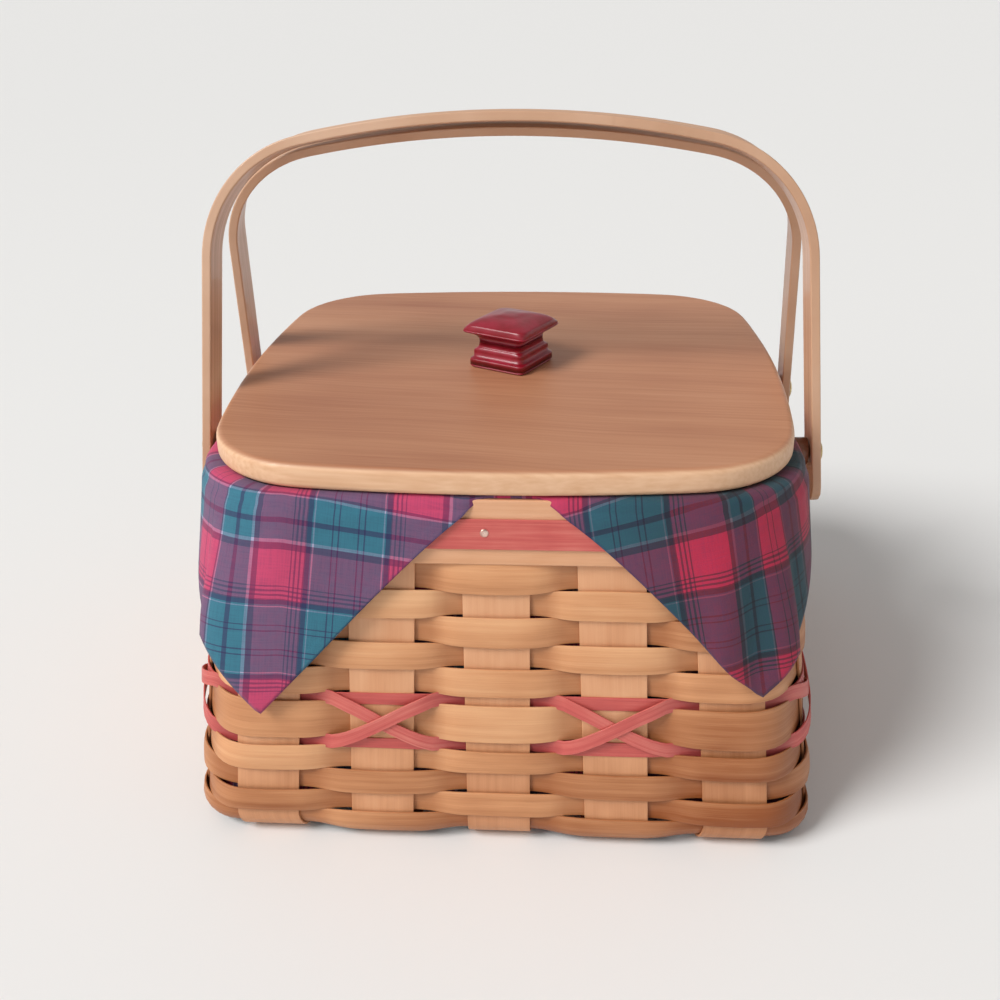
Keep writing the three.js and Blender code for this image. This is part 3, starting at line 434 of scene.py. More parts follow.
@dataclass(frozen=True)
class MetalFinish:
    """Plain fastener metal, lightly tarnished."""

    name: str
    bright: Color
    dull: Color

    def make(self) -> bpy.types.Material:
        """Builds the material."""
        graph = Graph(self.name)
        cloud = graph.noise(graph.space(), (260.0, 260.0, 260.0), 3.0)
        color = graph.ramp(cloud, [(0.35, self.bright), (0.7, self.dull)])
        rough = 0.3 + (cloud - 0.5) * 0.3
        normal = graph.bump(cloud, 0.0001, 0.4)
        return graph.finish({"Base Color": color, "Roughness": rough, "Metallic": 1.0, "Normal": normal})


@dataclass(frozen=True)
class Yarns:
    """The colors of the yarns in the plaid."""

    rose: Color
    teal: Color
    navy: Color
    pale: Color
    plum: Color

    def bands(self) -> list[tuple[float, Color]]:
        """Half a check: where each band starts, in millimetres from the middle of a teal band."""
        rose, teal, navy, pale, plum = self.rose, self.teal, self.navy, self.pale, self.plum
        return [
            (0.0, teal), (4.4, navy), (5.0, teal), (7.4, navy), (8.0, teal), (16.6, pale),
            (17.5, teal), (18.0, navy), (20.2, plum), (21.0, rose), (22.2, plum), (23.2, rose),
            (24.6, plum), (25.4, rose), (27.0, plum), (27.6, rose), (45.0, plum), (48.3, pale),
            (50.0, teal), (57.6, navy), (60.2, teal), (69.4, pale), (70.4, plum), (71.4, rose),
            (80.2, plum), (81.0, rose),
        ]


@dataclass(frozen=True)
class PlaidFinish:
    """A cotton cloth woven in a two-color check, with thin pale and dark lines."""

    name: str
    # The plaid's own yarn colors, and darker copies that paint shade on the right side.
    light_side: Yarns
    shaded_side: Yarns
    half_repeat: float = 83.3
    stray: float = 0.0009

    def _threads(self, graph: Graph, distance: Value) -> bpy.types.NodeSocket:
        """The colors of the threads that lie side by side, mirrored at each end of the check.

        Args:
            graph: The material's graph.
            distance: The distance across the threads from the middle of a teal band, in metres.

        Returns:
            The color, with the darker painted-shade yarn colors where the "tone" attribute is 1.
        """
        place = (distance * 1000.0).folded(self.half_repeat) * (1.0 / self.half_repeat)
        colors = []
        for yarns in (self.light_side, self.shaded_side):
            stops = [(start / self.half_repeat, color) for start, color in yarns.bands()]
            colors.append(graph.ramp(place, stops, sharp=True))
        return graph.mix(graph.attribute("tone"), colors[0], colors[1])

    def make(self) -> bpy.types.Material:
        """Builds the material."""
        graph = Graph(self.name)
        uv = graph.surface()
        u, v, _ = graph.split(uv)
        twill = (u * 1600.0 + v * 1600.0).fraction().above(0.5)
        slub = graph.noise(uv, (240.0, 240.0, 1.0), 3.0)
        stray_u = (graph.noise(uv, (900.0, 30.0, 1.0), 3.0) - 0.5) * self.stray
        stray_v = (graph.noise(uv, (30.0, 900.0, 1.0), 3.0) - 0.5) * self.stray
        share = 0.5 + (twill - 0.5) * 0.16 + (slub - 0.5) * 0.3
        warp, weft = self._threads(graph, u + stray_u), self._threads(graph, v + stray_v)
        deeper = graph.mix(1.0, warp, weft, "DARKEN")
        color = graph.mix(0.48, graph.mix(share, warp, weft), deeper)
        ends = graph.noise(uv, (1400.0, 60.0, 1.0), 2.0)
        picks = graph.noise(uv, (60.0, 1400.0, 1.0), 2.0)
        yarn = ends * 0.5 + picks * 0.5
        color = graph.mix(yarn.smooth(0.42, 0.7) * 0.24, color, self.light_side.navy)
        hem = graph.attribute("hem")
        # Painted shadow: the cloth darkens along the edge of the hem.
        hem_shade = 1.0 - hem.smooth(0.0004, 0.0016)
        color = graph.mix(hem_shade * 0.35, color, self.light_side.navy)
        weave = graph.noise(uv, (1500.0, 1500.0, 1.0), 2.0)
        creases = graph.noise(uv, (18.0, 22.0, 1.0), 3.0)
        turning = hem.smooth(0.005, 0.0068)
        normal = graph.bump(weave * 0.05 + creases - turning * 0.05, 0.0032, 0.8)
        sockets = {"Base Color": color, "Roughness": 0.85, "Normal": normal}
        return graph.finish({**sockets, "Sheen Weight": 0.12, "Sheen Roughness": 0.5})


@dataclass(frozen=True)
class FloorFinish:
    """Plain pale paper."""

    name: str
    color: Color

    def make(self) -> bpy.types.Material:
        """Builds the material."""
        sockets = {"Base Color": self.color, "Roughness": 0.9, "Specular IOR Level": 0.1}
        return Graph(self.name).finish(sockets)


class Finish(Enum):
    """Every finish in the scene."""

    SPLINT = SplintFinish(
        "splint", shade(226, 174, 128), shade(204, 144, 98), shade(138, 70, 18)
    )
    STAKE = SplintFinish(
        "upright_splint", shade(226, 174, 134), shade(207, 148, 106), shade(140, 74, 22), 0.5
    )
    RIM = SplintFinish("rim_wood", shade(222, 172, 136), shade(208, 152, 112), shade(158, 98, 60))
    RED = StainFinish("red_splint", shade(214, 126, 112), shade(192, 84, 78), shade(140, 44, 46))
    LID = BoardFinish(
        "lid_wood",
        face_light=shade(194, 140, 106),
        face=shade(182, 126, 92),
        face_dark=shade(160, 102, 72),
        edge=shade(222, 180, 144),
        edge_dark=shade(208, 160, 122),
        edge_low=0.2196,
        edge_high=0.2212,
    )
    BATTEN = BentWoodFinish(
        "batten_wood", shade(228, 184, 138), shade(214, 164, 116), shade(186, 134, 90)
    )
    HANDLE = BentWoodFinish(
        "handle_wood", shade(208, 171, 144), shade(193, 151, 121), shade(158, 112, 80)
    )
    # Darker than the handle wood: painted shade behind the handle legs, where the spacers sit.
    SHADED_SPACER = BentWoodFinish(
        "spacer_painted_shade", shade(140, 92, 64), shade(118, 72, 48), shade(86, 48, 30)
    )
    KNOB = GlossFinish("red_gloss", shade(128, 8, 28), shade(152, 24, 50))
    METAL = MetalFinish("fastener_metal", shade(214, 190, 140), shade(150, 120, 78))
    # Pinkish tint: painted reflection of the red strip that the tacks sit on.
    TACK = MetalFinish("tack_metal", shade(244, 214, 200), shade(198, 152, 138))
    CLOTH = PlaidFinish(
        "plaid_cloth",
        light_side=Yarns(
            rose=shade(186, 58, 98),
            teal=shade(42, 107, 127),
            navy=shade(34, 38, 80),
            pale=shade(160, 154, 184),
            plum=shade(112, 30, 76),
        ),
        # Darker yarn colors: painted shade on the right side of the cloth.
        shaded_side=Yarns(
            rose=shade(170, 24, 60),
            teal=shade(20, 60, 70),
            navy=shade(12, 10, 24),
            pale=shade(96, 82, 92),
            plum=shade(66, 12, 30),
        ),
    )
    FLOOR = FloorFinish("floor_paper", shade(232, 231, 229))

    def material(self) -> bpy.types.Material:
        """The finish's material, made once."""
        if self.name not in MADE:
            MADE[self.name] = self.value.make()
        return MADE[self.name]


# --------------------------------------------------------------------------------------------- pieces


@dataclass(frozen=True)
class Edge:
    """How thick a strip is and how its edges are rounded, in millimetres."""

    thickness: float
    round: float
    segments: int = 2


def even(tone: float) -> dict[str, Share]:
    """The marks of a strip that has one tone all over and doesn't dive behind another."""
    return {"tone": lambda along, across: tone, "dive": lambda along, across: 0.0}


def dome(radius: float, base: float, rise: float, steps: int) -> list[tuple[float, float]]:
    """The profile of a domed head, from its edge to its middle.

    Args:
        radius: Its radius.
        base: The height of its edge.
        rise: How far its middle stands over its edge.
        steps: How many faces it takes.

    Returns:
        The radii and heights.
    """
    angles = [step / steps * math.pi / 2 for step in range(1, steps + 1)]
    return [(radius * math.cos(angle), base + rise * math.sin(angle)) for angle in angles]


def quarter_turns(x: float, y: float, side: int) -> tuple[float, float]:
    """A point turned about the middle by a number of quarter turns."""
    cosine, sine = math.cos(side * math.pi / 2), math.sin(side * math.pi / 2)
    return x * cosine - y * sine, x * sine + y * cosine


class Piece:
    """Shared ways of making a piece and putting it in the frame."""

    @staticmethod
    def strip(
        name: str,
        steps: tuple[int, int],
        size: tuple[float, float],
        place: Place,
        edge: Edge,
        marks: dict[str, Share] | None = None,
        surface: Surface | None = None,
    ) -> bpy.types.Object:
        """A bent strip: a grid laid along a path, closed where its ends meet, with thickness.

        Args:
            name: The piece's name.
            steps: How many faces it has along and across.
            size: Its length and width in millimetres, for its surface map.
            place: The place in millimetres at a share of the length and of the width.
            edge: Its thickness and rounding.
            marks: Numbers stored on its points, by share of length and width.
            surface: Its surface map in metres where it isn't length by width. It is also given
                how far along the face is that a corner belongs to.

        Returns:
            The piece.
        """
        bm = bmesh.new()
        bmesh.ops.create_grid(bm, x_segments=steps[0], y_segments=steps[1], size=1.0, calc_uvs=True)
        uv = bm.loops.layers.uv.new("UVMap")
        layers = {mark: bm.verts.layers.float.new(mark) for mark in marks or {}}
        shares = {vert: ((vert.co.x + 1) / 2, (vert.co.y + 1) / 2) for vert in bm.verts}
        if surface is None:
            surface = lambda along, across, near: (along * size[0] * MM, across * size[1] * MM)
        for face in bm.faces:
            near = (face.calc_center_median().x + 1) / 2
            for loop in face.loops:
                loop[uv].uv = surface(*shares[loop.vert], near)
        for vert, (along, across) in shares.items():
            for mark, layer in layers.items():
                vert[layer] = marks[mark](along, across)
            vert.co = place(along, across) * MM
        bmesh.ops.remove_doubles(bm, verts=bm.verts[:], dist=MERGE)
        piece = Piece.add(name, bm)
        solid = piece.modifiers.new("thickness", "SOLIDIFY")
        solid.thickness = edge.thickness * MM
        solid.offset = 0.0
        if edge.round:
            bevel = piece.modifiers.new("edges", "BEVEL")
            bevel.width = edge.round * MM
            bevel.segments = edge.segments
            bevel.profile = 0.5
            bevel.limit_method = "ANGLE"
            bevel.angle_limit = math.radians(50)
            bevel.harden_normals = True
        return piece

    @staticmethod
    def turned(
        name: str, profile: list[tuple[float, float]], place: Matrix, steps: int = 32
    ) -> bpy.types.Object:
        """A piece turned about its axis.

        Args:
            name: The piece's name.
            profile: Its radii and heights in millimetres.
            place: The matrix, in metres, that lays its axis from Z.
            steps: How many faces go round it.

        Returns:
            The piece.
        """
        bm = bmesh.new()
        points = [bm.verts.new((radius * MM, 0.0, height * MM)) for radius, height in profile]
        edges = [bm.edges.new(pair) for pair in zip(points, points[1:])]
        bmesh.ops.spin(
            bm,
            geom=points + edges,
            cent=(0, 0, 0),
            axis=(0, 0, 1),
            dvec=(0, 0, 0),
            angle=math.tau,
            steps=steps,
            use_merge=True,
            use_duplicate=False,
        )
        bmesh.ops.remove_doubles(bm, verts=bm.verts[:], dist=MERGE)
        bmesh.ops.transform(bm, matrix=place, verts=bm.verts[:])
        bmesh.ops.recalc_face_normals(bm, faces=bm.faces[:])
        return Piece.add(name, bm)

    @staticmethod
    def add(name: str, bm: bmesh.types.BMesh) -> bpy.types.Object:
        """Makes a smoothly shaded object of a bmesh, which is freed."""
        mesh = bpy.data.meshes.new(name)
        bm.to_mesh(mesh)
        bm.free()
        for face in mesh.polygons:
            face.use_smooth = True
        piece = bpy.data.objects.new(name, mesh)
        bpy.context.scene.collection.objects.link(piece)
        return piece

    @staticmethod
    def fit(piece: bpy.types.Object, finish: Finish, body: str, slot: str, *nodes: str) -> None:
        """Dresses a piece and puts it in the frame.

        Args:
            piece: The piece.
            finish: Its finish.
            body: The body it moves with.
            slot: The record's material slot. Not used.
            nodes: The nodes that it stands for.
        """
        piece.data.materials.append(finish.material())
        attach(piece, body)
        if nodes:
            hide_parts(*nodes)
        LOG.info("%s rides on %s, %d faces", piece.name, body, len(piece.data.polygons))


# ------------------------------------------------------------------------------------------- the wall


@dataclass(frozen=True)
class Level:
    """The wall at one height: half width, corner radius, splint pitch, and the way out of its face."""

    height: float
    half: float
    radius: float
    pitch: float
    out: float
    up: float

    @property
    def quarter(self) -> float:
        """The length of one side, corner to corner."""
        return 2 * (self.half - self.radius) + math.pi * self.radius / 2


@dataclass(frozen=True)
class Wall:
    """The woven wall's middle surface, in millimetres: a square with round corners that widens
    downward from the rim to the belly and bends under into the base."""

    rim_top: float = 206.0
    rim_half: float = 153.51
    rim_radius: float = 57.0
    belly_half: float = 170.0
    belly_radius: float = 25.0
    bend: float = 13.0
    base_middle: float = 1.55
    belly_pitch: float = 64.5
    base_pitch: float = 62.5
    rim_pitch: float = 56.51
    stakes_per_side: int = 5
    stake_width: float = 34.4

    @property
    def belly_height(self) -> float:
        """The height where the bend starts."""
        return self.base_middle + self.bend

    @property
    def lean(self) -> float:
        """The wall's slope, out per up."""
        return (self.belly_half - self.rim_half) / (self.rim_top - self.belly_height)

    @property
    def straight(self) -> float:
        """The distance down the face from the rim to the belly."""
        return (self.rim_top - self.belly_height) * math.hypot(1, self.lean)

    def at_height(self, height: float) -> Level:
        """The wall at a height above the belly."""
        rise = (height - self.belly_height) / (self.rim_top - self.belly_height)
        half = lerp(self.belly_half, self.rim_half, rise)
        radius = lerp(self.belly_radius, self.rim_radius, rise)
        pitch = lerp(self.belly_pitch, self.rim_pitch, rise)
        size = math.hypot(1, self.lean)
        return Level(height, half, radius, pitch, 1 / size, self.lean / size)

    def down(self, distance: float) -> Level:
        """The wall at a distance down its face from the rim, round the bend.

        Args:
            distance: The distance in millimetres.

        Returns:
            The wall there.
        """
        if distance <= self.straight:
            return self.at_height(lerp(self.rim_top, self.belly_height, distance / self.straight))
        angle = min((distance - self.straight) / self.bend, math.pi / 2)
        tuck = self.bend * (1 - math.cos(angle))
        height = self.belly_height - self.bend * math.sin(angle)
        pitch = lerp(self.belly_pitch, self.base_pitch, angle / (math.pi / 2))
        half, radius = self.belly_half - tuck, self.belly_radius - tuck
        return Level(height, half, radius, pitch, math.cos(angle), -math.sin(angle))

    def stake_along(self, level: Level, stake: float) -> float:
        """The distance round the ring to a stake's middle, or to a place between two stakes.

        Args:
            level: The wall there.
            stake: The stake's number, 0 in the middle of the front.

        Returns:
            The distance in millimetres.
        """
        low = math.floor(stake)
        ends = []
        for number in (low, low + 1):
            side = round(number / self.stakes_per_side)
            step = number - side * self.stakes_per_side
            ends.append(side * level.quarter + step * level.pitch)
        return lerp(ends[0], ends[1], stake - low)

    def point(self, level: Level, along: float, off: float) -> Vector:
        """A point off the wall.

        Args:
            level: The wall there.
            along: The distance round the ring from the middle of the front.
            off: The distance out from the middle surface.

        Returns:
            The point in millimetres.
        """
        side = math.floor(along / level.quarter + 0.5)
        offset = along - side * level.quarter
        flat = level.half - level.radius
        turn = max(0.0, abs(offset) - flat) / level.radius
        sine, cosine = math.sin(turn), math.cos(turn)
        reach = min(abs(offset), flat) + level.radius * sine + off * level.out * sine
        depth = flat + level.radius * cosine + off * level.out * cosine
        x, y = quarter_turns(math.copysign(1.0, offset) * reach, -depth, side)
        return Vector((x, y, level.height + off * level.up))


@dataclass(frozen=True)
class Row:
    """One row of weaving. A row with shift 0 passes outside the middle stake of each side."""

    name: str
    top: float
    width: float
    shift: int
    red: bool


@dataclass
class Body:
    """The basket's woven splints: uprights that run under the base, and the rows round them.

    Sizes are in millimetres. Places round the ring are in stakes, and the rows close at the back.
    """

    wall: Wall
    stake_edge: Edge = Edge(1.4, 0.35)
    weaver_edge: Edge = Edge(1.2, 0.35)
    red_edge: Edge = Edge(0.8, 0.22)
    rim_depth: float = 35.0
    row_gap: float = 0.6
    upper_width: float = 14.7
    red_width: float = 5.8
    wide_width: float = 20.6
    lower_width: float = 13.2
    last_width: float = 15.2
    stake_gap: float = 0.6
    weave_offset: float = 1.6
    red_offset: float = 1.4
    red_layer: float = 1.1
    cup: float = 0.75
    bulge: float = 0.9
    foot_swell: float = 0.35
    bow_spread: float = 0.35
    waist_flat: float = 0.25
    waist_out: float = 0.55
    waist_back: float = 0.35
    red_waist: float = 0.9
    weaver_tone: float = 0.45
    # Painted shade along the lower edge of each weaver.
    lower_edge_shade: float = 0.08
    upright_tone: float = 0.4
    tone_spread: float = 0.2
    # Painted shade on the splints: darker on the right side, away from the key light, and at the corners.
    side_shade: float = 0.2
    corner_shade: float = 0.14
    # Painted shade: the splints darken towards the base.
    low_shade: float = 0.3
    low_shade_from: float = 105.0
    low_shade_to: float = 190.0
    stake_cup: float = 0.35
    stake_cup_ends: float = 60.0
    stake_steps: tuple[int, int] = (220, 6)
    cross_width: float = 8.6
    cross_leave: float = 0.62
    cross_bulge: float = 1.5
    cross_wobble: float = 0.5
    cross_ease: float = 0.4
    seam: int = 10
    per_pitch: int = 16
    filler_width: float = 22.5
    filler_tail: float = 1.3
    filler_steps: tuple[int, int] = (110, 2)
    base_offset: float = 0.85
    base_flat: float = 0.34
    base_turn: float = 0.32
    base_entry: float = 12.0

    def __post_init__(self) -> None:
        """Works out the rows and how far the borders between them wander."""
        self.chance = random.Random(7)
        self.ring_count = 4 * self.wall.stakes_per_side
        self.reach = self.wall.stake_width / 2 + self.stake_gap
        self.rows = self._rows()
        spreads = [0.4 + 0.045 * row.width for row in self.rows]
        self.borders = [self._wander(self.ring_count, spread) for spread in (0.0, *spreads[1:], 0.5)]

    def _rows(self) -> list[Row]:
        """The rows from the rim down."""
        rows: list[Row] = []
        top = self.rim_depth * math.hypot(1, self.wall.lean) + self.row_gap
        plan = [(f"upper_weaver_{k}", self.upper_width) for k in range(1, 6)]
        plan += [("red_weaver_upper", self.red_width), ("wide_weaver", self.wide_width)]
        plan += [("red_weaver_lower", self.red_width)]
        plan += [(f"lower_weaver_{k}", self.lower_width) for k in range(1, 4)]
        for name, width in plan + [("lower_weaver_4", self.last_width)]:
            rows.append(Row(name, top, width, len(rows) % 2, name.startswith("red")))
            top += width + self.row_gap
        return rows

    def _wander(self, count: int, spread: float) -> Callable[[float], float]:
        """A smooth closed wander round the ring.

        Args:
            count: How many places it is set at.
            spread: How far it goes to either hand.

        Returns:
            The wander at a place, in stakes.
        """
        values = [self.chance.uniform(-spread, spread) for _ in range(count)]

        def at(stake: float) -> float:
            """The wander at one place."""
            low = math.floor(stake)
            return lerp(values[low % count], values[(low + 1) % count], ease(0, 1, stake - low))

        return at

    def _lay(
        self,
        name: str,
        node: str,
        finish: Finish,
        steps: tuple[int, int],
        size: tuple[float, float],
        place: Place,
        edge: Edge,
        marks: dict[str, Share],
    ) -> None:
        """Makes a splint, cut from its own part of the grain, and fits it.

        Args:
            name: The piece's name.
            node: The node that it stands for.
            finish: Its finish.
            steps: How many faces it has along and across.
            size: Its length and width.
            place: Its middle surface.
            edge: Its thickness and rounding.
            marks: The numbers stored on its points.
        """
        start = self.chance.uniform(0, 3)

        def surface(along: float, across: float, near: float) -> tuple[float, float]:
            """The splint's part of the grain, in metres."""
            return start + along * size[0] * MM, start * 0.37 + across * size[1] * MM

        piece = Piece.strip(name, steps, size, place, edge, marks, surface)
        Piece.fit(piece, finish, "basket", "red_splint" if finish is Finish.RED else "splint", node)

    def side_share(self, level: Level, stake: float, shift: int) -> float:
        """Which side of the stakes a row runs on.

        Args:
            level: The wall there.
            stake: The place round the ring.
            shift: The row's shift.

        Returns:
            1 outside a stake, -1 inside it, and a smooth change in the gap between.
        """
        near = math.floor(stake + 0.5)
        low = near if stake >= near else near - 1
        pitch = abs(self.wall.stake_along(level, low + 1) - self.wall.stake_along(level, low))
        away = abs(stake - near) * pitch
        sign = 1.0 if (near + shift) % 2 == 0 else -1.0
        if away <= self.reach:
            return sign
        return sign * math.cos(math.pi * min((away - self.reach) / (pitch - 2 * self.reach), 0.5))

    def painted_shading(self, stake: float) -> float:
        """How much darker the splints are at a place: painted shade on the right side, away from the key
        light, painted light on the left side, and painted shade at the corners."""
        side = stake / self.wall.stakes_per_side
        corner = abs(side - math.floor(side + 0.5)) * 2
        light_side = self.side_shade * math.sin(math.tau * stake / self.ring_count)
        return light_side + self.corner_shade * ease(0.35, 1.0, corner)

    def _low_shade(self, down: float) -> float:
        """The painted shade on the splints at a distance down from the rim, darker towards the base."""
        return self.low_shade * ease(self.low_shade_from, self.low_shade_to, down)

    @staticmethod
    def _crown(stake: float) -> float:
        """How far a row stands out, 1 over a stake's middle and 0 halfway to the next."""
        return math.cos(math.pi * abs(stake - math.floor(stake + 0.5))) ** 2

    def weaver(self, row: Row) -> None:
        """Makes one row of weaving, bowed out over the stakes that it crosses.

        Args:
            row: The row.
        """
        wall, count = self.wall, self.ring_count
        begin = self.seam + 1 - row.shift
        number = self.rows.index(row)
        above, below = self.borders[number : number + 2]
        bow = self._wander(count, self.bow_spread)
        tone = self._wander(count, self.tone_spread)
        swelling = self.foot_swell if row is self.rows[-1] else 1.0
        inset = self.red_layer if row.red else 0.0
        offset = self.red_offset if row.red else self.weave_offset
        middle = wall.down(row.top + row.width / 2)

        def place(along: float, across: float) -> Vector:
            """The weaver's middle surface."""
            stake = begin + along * count
            side = self.side_share(middle, stake, row.shift)
            out, back = max(side, 0.0), max(-side, 0.0)
            waist = self.waist_flat + self.waist_out * out - self.waist_back * back
            if row.red:
                waist = self.red_waist * out
            distance = row.top + row.width * across + (across - 0.5) * 2 * waist
            level = wall.down(distance + lerp(above(stake), below(stake), across))
            cup = (self.cup + bow(stake)) * (1 - (2 * across - 1) ** 2)
            bulge = (self.bulge + bow(stake)) * self._crown(stake)
            swell = (0.0 if row.red else cup + bulge) * out * swelling
            off = offset * out + swell - (offset + inset) * back
            return wall.point(level, wall.stake_along(level, stake), off)

        def dive(along: float, across: float) -> float:
            """How far the weaver has gone in between the stakes; this sets the painted shade there."""
            return ease(0.75, -0.6, self.side_share(middle, begin + along * count, row.shift))

        def shade_at(along: float, across: float) -> float:
            """The tone of one crossing, with painted shade towards the base, on the right side, at the
            corners and along its lower edge.
            """
            stake = begin + along * count
            passed = 2 * math.floor((stake + row.shift + 1) / 2) + row.shift
            painted_shade = self._low_shade(row.top) + self.painted_shading(stake)
            return self.weaver_tone + painted_shade + tone(passed) + self.lower_edge_shade * across

        finish, edge = (Finish.RED, self.red_edge) if row.red else (Finish.SPLINT, self.weaver_edge)
        steps = (count * self.per_pitch, 3 if row.red else 6)
        size = (middle.quarter * 4, row.width)
        marks = {"tone": shade_at, "dive": dive}
        self._lay(f"{row.name}_splint", row.name, finish, steps, size, place, edge, marks)

    def cross_strip(self, name: str, node: str, starts_high: bool) -> None:
        """Makes one of the two red strips that change rows over every second stake.

        Args:
            name: The piece's name.
            node: The node that it stands for.
            starts_high: Whether it is on the upper red row before the first crossing.
        """
        wall, count, begin = self.wall, self.ring_count, self.seam
        upper, lower = (row for row in self.rows if row.red)
        swing = lower.top - upper.top
        inset = (upper.width - self.cross_width) / 2
        middle = wall.down((upper.top + lower.top) / 2)
        tone = self._wander(count, self.tone_spread)
        wobble = self._wander(count, self.cross_wobble)

        def falls(stake: float) -> bool:
            """Whether the strip goes from the upper row to the lower one at this crossing."""
            return (math.floor(stake / 2) % 2 == 0) == starts_high

        def drop(stake: float) -> float:
            """How far down from the upper row the strip is."""
            crossed = 2 * math.floor(stake / 2) + 1
            here = wall.stake_along(middle, crossed)
            gap = wall.stake_along(middle, crossed + 1) - here - 2 * self.reach
            run = self.reach + (1 - self.cross_leave) * gap
            away = wall.stake_along(middle, stake) - here
            straight = min(max((away + run) / (2 * run), 0), 1)
            share = lerp(straight, ease(-run * 1.06, run * 1.06, away), self.cross_ease)
            return swing * (share if falls(stake) else 1 - share)

        def place(along: float, across: float) -> Vector:
            """The strip's middle surface. Where two strips cross, the falling one lies under."""
            stake = begin + along * count
            side = self.side_share(middle, stake, 1)
            out, back = max(side, 0.0), max(-side, 0.0)
            distance = upper.top + inset + drop(stake) + self.cross_width * across
            level = wall.down(distance + wobble(stake) * out)
            layers = (1 if falls(stake) else 2) * self.red_layer
            lift = self.red_offset + layers + self.cross_bulge * self._crown(stake)
            return wall.point(level, wall.stake_along(level, stake), lift * out - self.red_offset * back)

        def dive(along: float, across: float) -> float:
            """How far the strip has gone in between the stakes; this sets the painted shade there."""
            return ease(0.6, -0.6, self.side_share(middle, begin + along * count, 1))

        def shade_at(along: float, across: float) -> float:
            """The strip's tone."""
            return self.upright_tone + tone(begin + along * count)

        marks = {"tone": shade_at, "dive": dive}
        size = (middle.quarter * 4, self.cross_width)
        steps = (count * self.per_pitch, 3)
        self._lay(name, node, Finish.RED, steps, size, place, self.red_edge, marks)

    def base_lift(self, along: float, number: int) -> float:
        """The height of a base strip's middle where it crosses the others.

        Args:
            along: The place along the strip from the middle of the base, in millimetres.
            number: The strip's place among the others, in cells.

        Returns:
            The height in millimetres.
        """
        cell = along / (self.wall.base_pitch / 2)
        near = math.floor(cell + 0.5)
        sign = 1.0 if (near + number) % 2 == 0 else -1.0
        past = abs(cell - near) - self.base_flat
        turn = sign * (1.0 if past < 0 else math.cos(math.pi * past / self.base_turn))
        return self.wall.base_middle + self.base_offset * turn

    def stake(self, number: int, sideways: bool) -> None:
        """Makes an upright splint, down one wall, under the base and up the other.

        Args:
            number: Its place from the middle, from -2 to 2.
            sideways: Whether it runs from side to side.
        """
        wall = self.wall
        side_length = wall.straight + wall.bend * math.pi / 2
        base_half = wall.belly_half - wall.bend
        whole = 2 * side_length + 2 * base_half
        spin = Matrix.Rotation(math.pi / 2 if sideways else 0.0, 3, "Z")
        tone = self._wander(8, 0.12)

        def place(along: float, across: float) -> Vector:
            """The stake's middle surface."""
            sidestep = (across - 0.5) * wall.stake_width
            end = -1 if along * whole <= whole / 2 else 1
            distance = min(along * whole, whole - along * whole)
            if distance < side_length:
                level = wall.down(distance)
                cup = self.stake_cup * (1 - (2 * across - 1) ** 2)
                cup *= ease(side_length, side_length - self.stake_cup_ends, distance)
                point = wall.point(level, wall.stake_along(level, number) + sidestep, cup)
                point.y *= -end
                return spin @ point
            at = end * (base_half - (distance - side_length))
            crossing = self.base_lift(at, 2 * number + (1 if sideways else 0))
            lift = lerp(wall.base_middle, crossing, ease(0, self.base_entry, distance - side_length))
            return spin @ Vector((number * wall.base_pitch + sidestep, at, lift))

        def shade_at(along: float, across: float) -> float:
            """The stake's tone, with painted shade towards the base, on the right side and at the corners.
            """
            near = number + (wall.stakes_per_side if sideways else 0)
            around = near if along < 0.5 else 2 * wall.stakes_per_side - near
            low = min(along, 1 - along) * whole
            return self.upright_tone + tone(along * 7) + self.painted_shading(around) + self._low_shade(low)

        name = f"{'side_to_side' if sideways else 'front_back'}_stake_{number + 3}"
        size = (whole, wall.stake_width)
        marks = {**even(0.0), "tone": shade_at}
        splint, steps = f"{name}_splint", self.stake_steps
        self._lay(splint, name, Finish.STAKE, steps, size, place, self.stake_edge, marks)

    def filler(self, number: int, sideways: bool) -> None:
        """Makes a narrower strip that closes the base between two stakes.

        Args:
            number: Its place, from 1 to 4.
            sideways: Whether it runs from side to side.
        """
        cell = 2 * number - 5
        pitch = self.wall.base_pitch
        half_length = 4 * pitch / 2 + self.wall.stake_width / 2 + self.filler_tail
        spin = Matrix.Rotation(math.pi / 2 if sideways else 0.0, 3, "Z")

        def place(along: float, across: float) -> Vector:
            """The filler's middle surface."""
            at = lerp(-half_length, half_length, along)
            lift = self.base_lift(at, cell + (1 if sideways else 0))
            return spin @ Vector((cell * pitch / 2 + (across - 0.5) * self.filler_width, at, lift))

        name = f"{'side_to_side' if sideways else 'front_back'}_filler_{number}"
        size = (2 * half_length, self.filler_width)
        splint, steps = f"{name}_splint", self.filler_steps
        self._lay(splint, name, Finish.STAKE, steps, size, place, self.stake_edge, even(0.5))

    def build(self) -> None:
        """Makes every splint of the body."""
        for make, numbers in ((self.stake, range(-2, 3)), (self.filler, range(1, 5))):
            for number in numbers:
                for sideways in (False, True):
                    make(number, sideways)
        for row in self.rows:
            self.weaver(row)
        self.cross_strip("red_cross_under_splint", "red_cross_strip_under", True)
        self.cross_strip("red_cross_over_splint", "red_cross_strip_over", False)


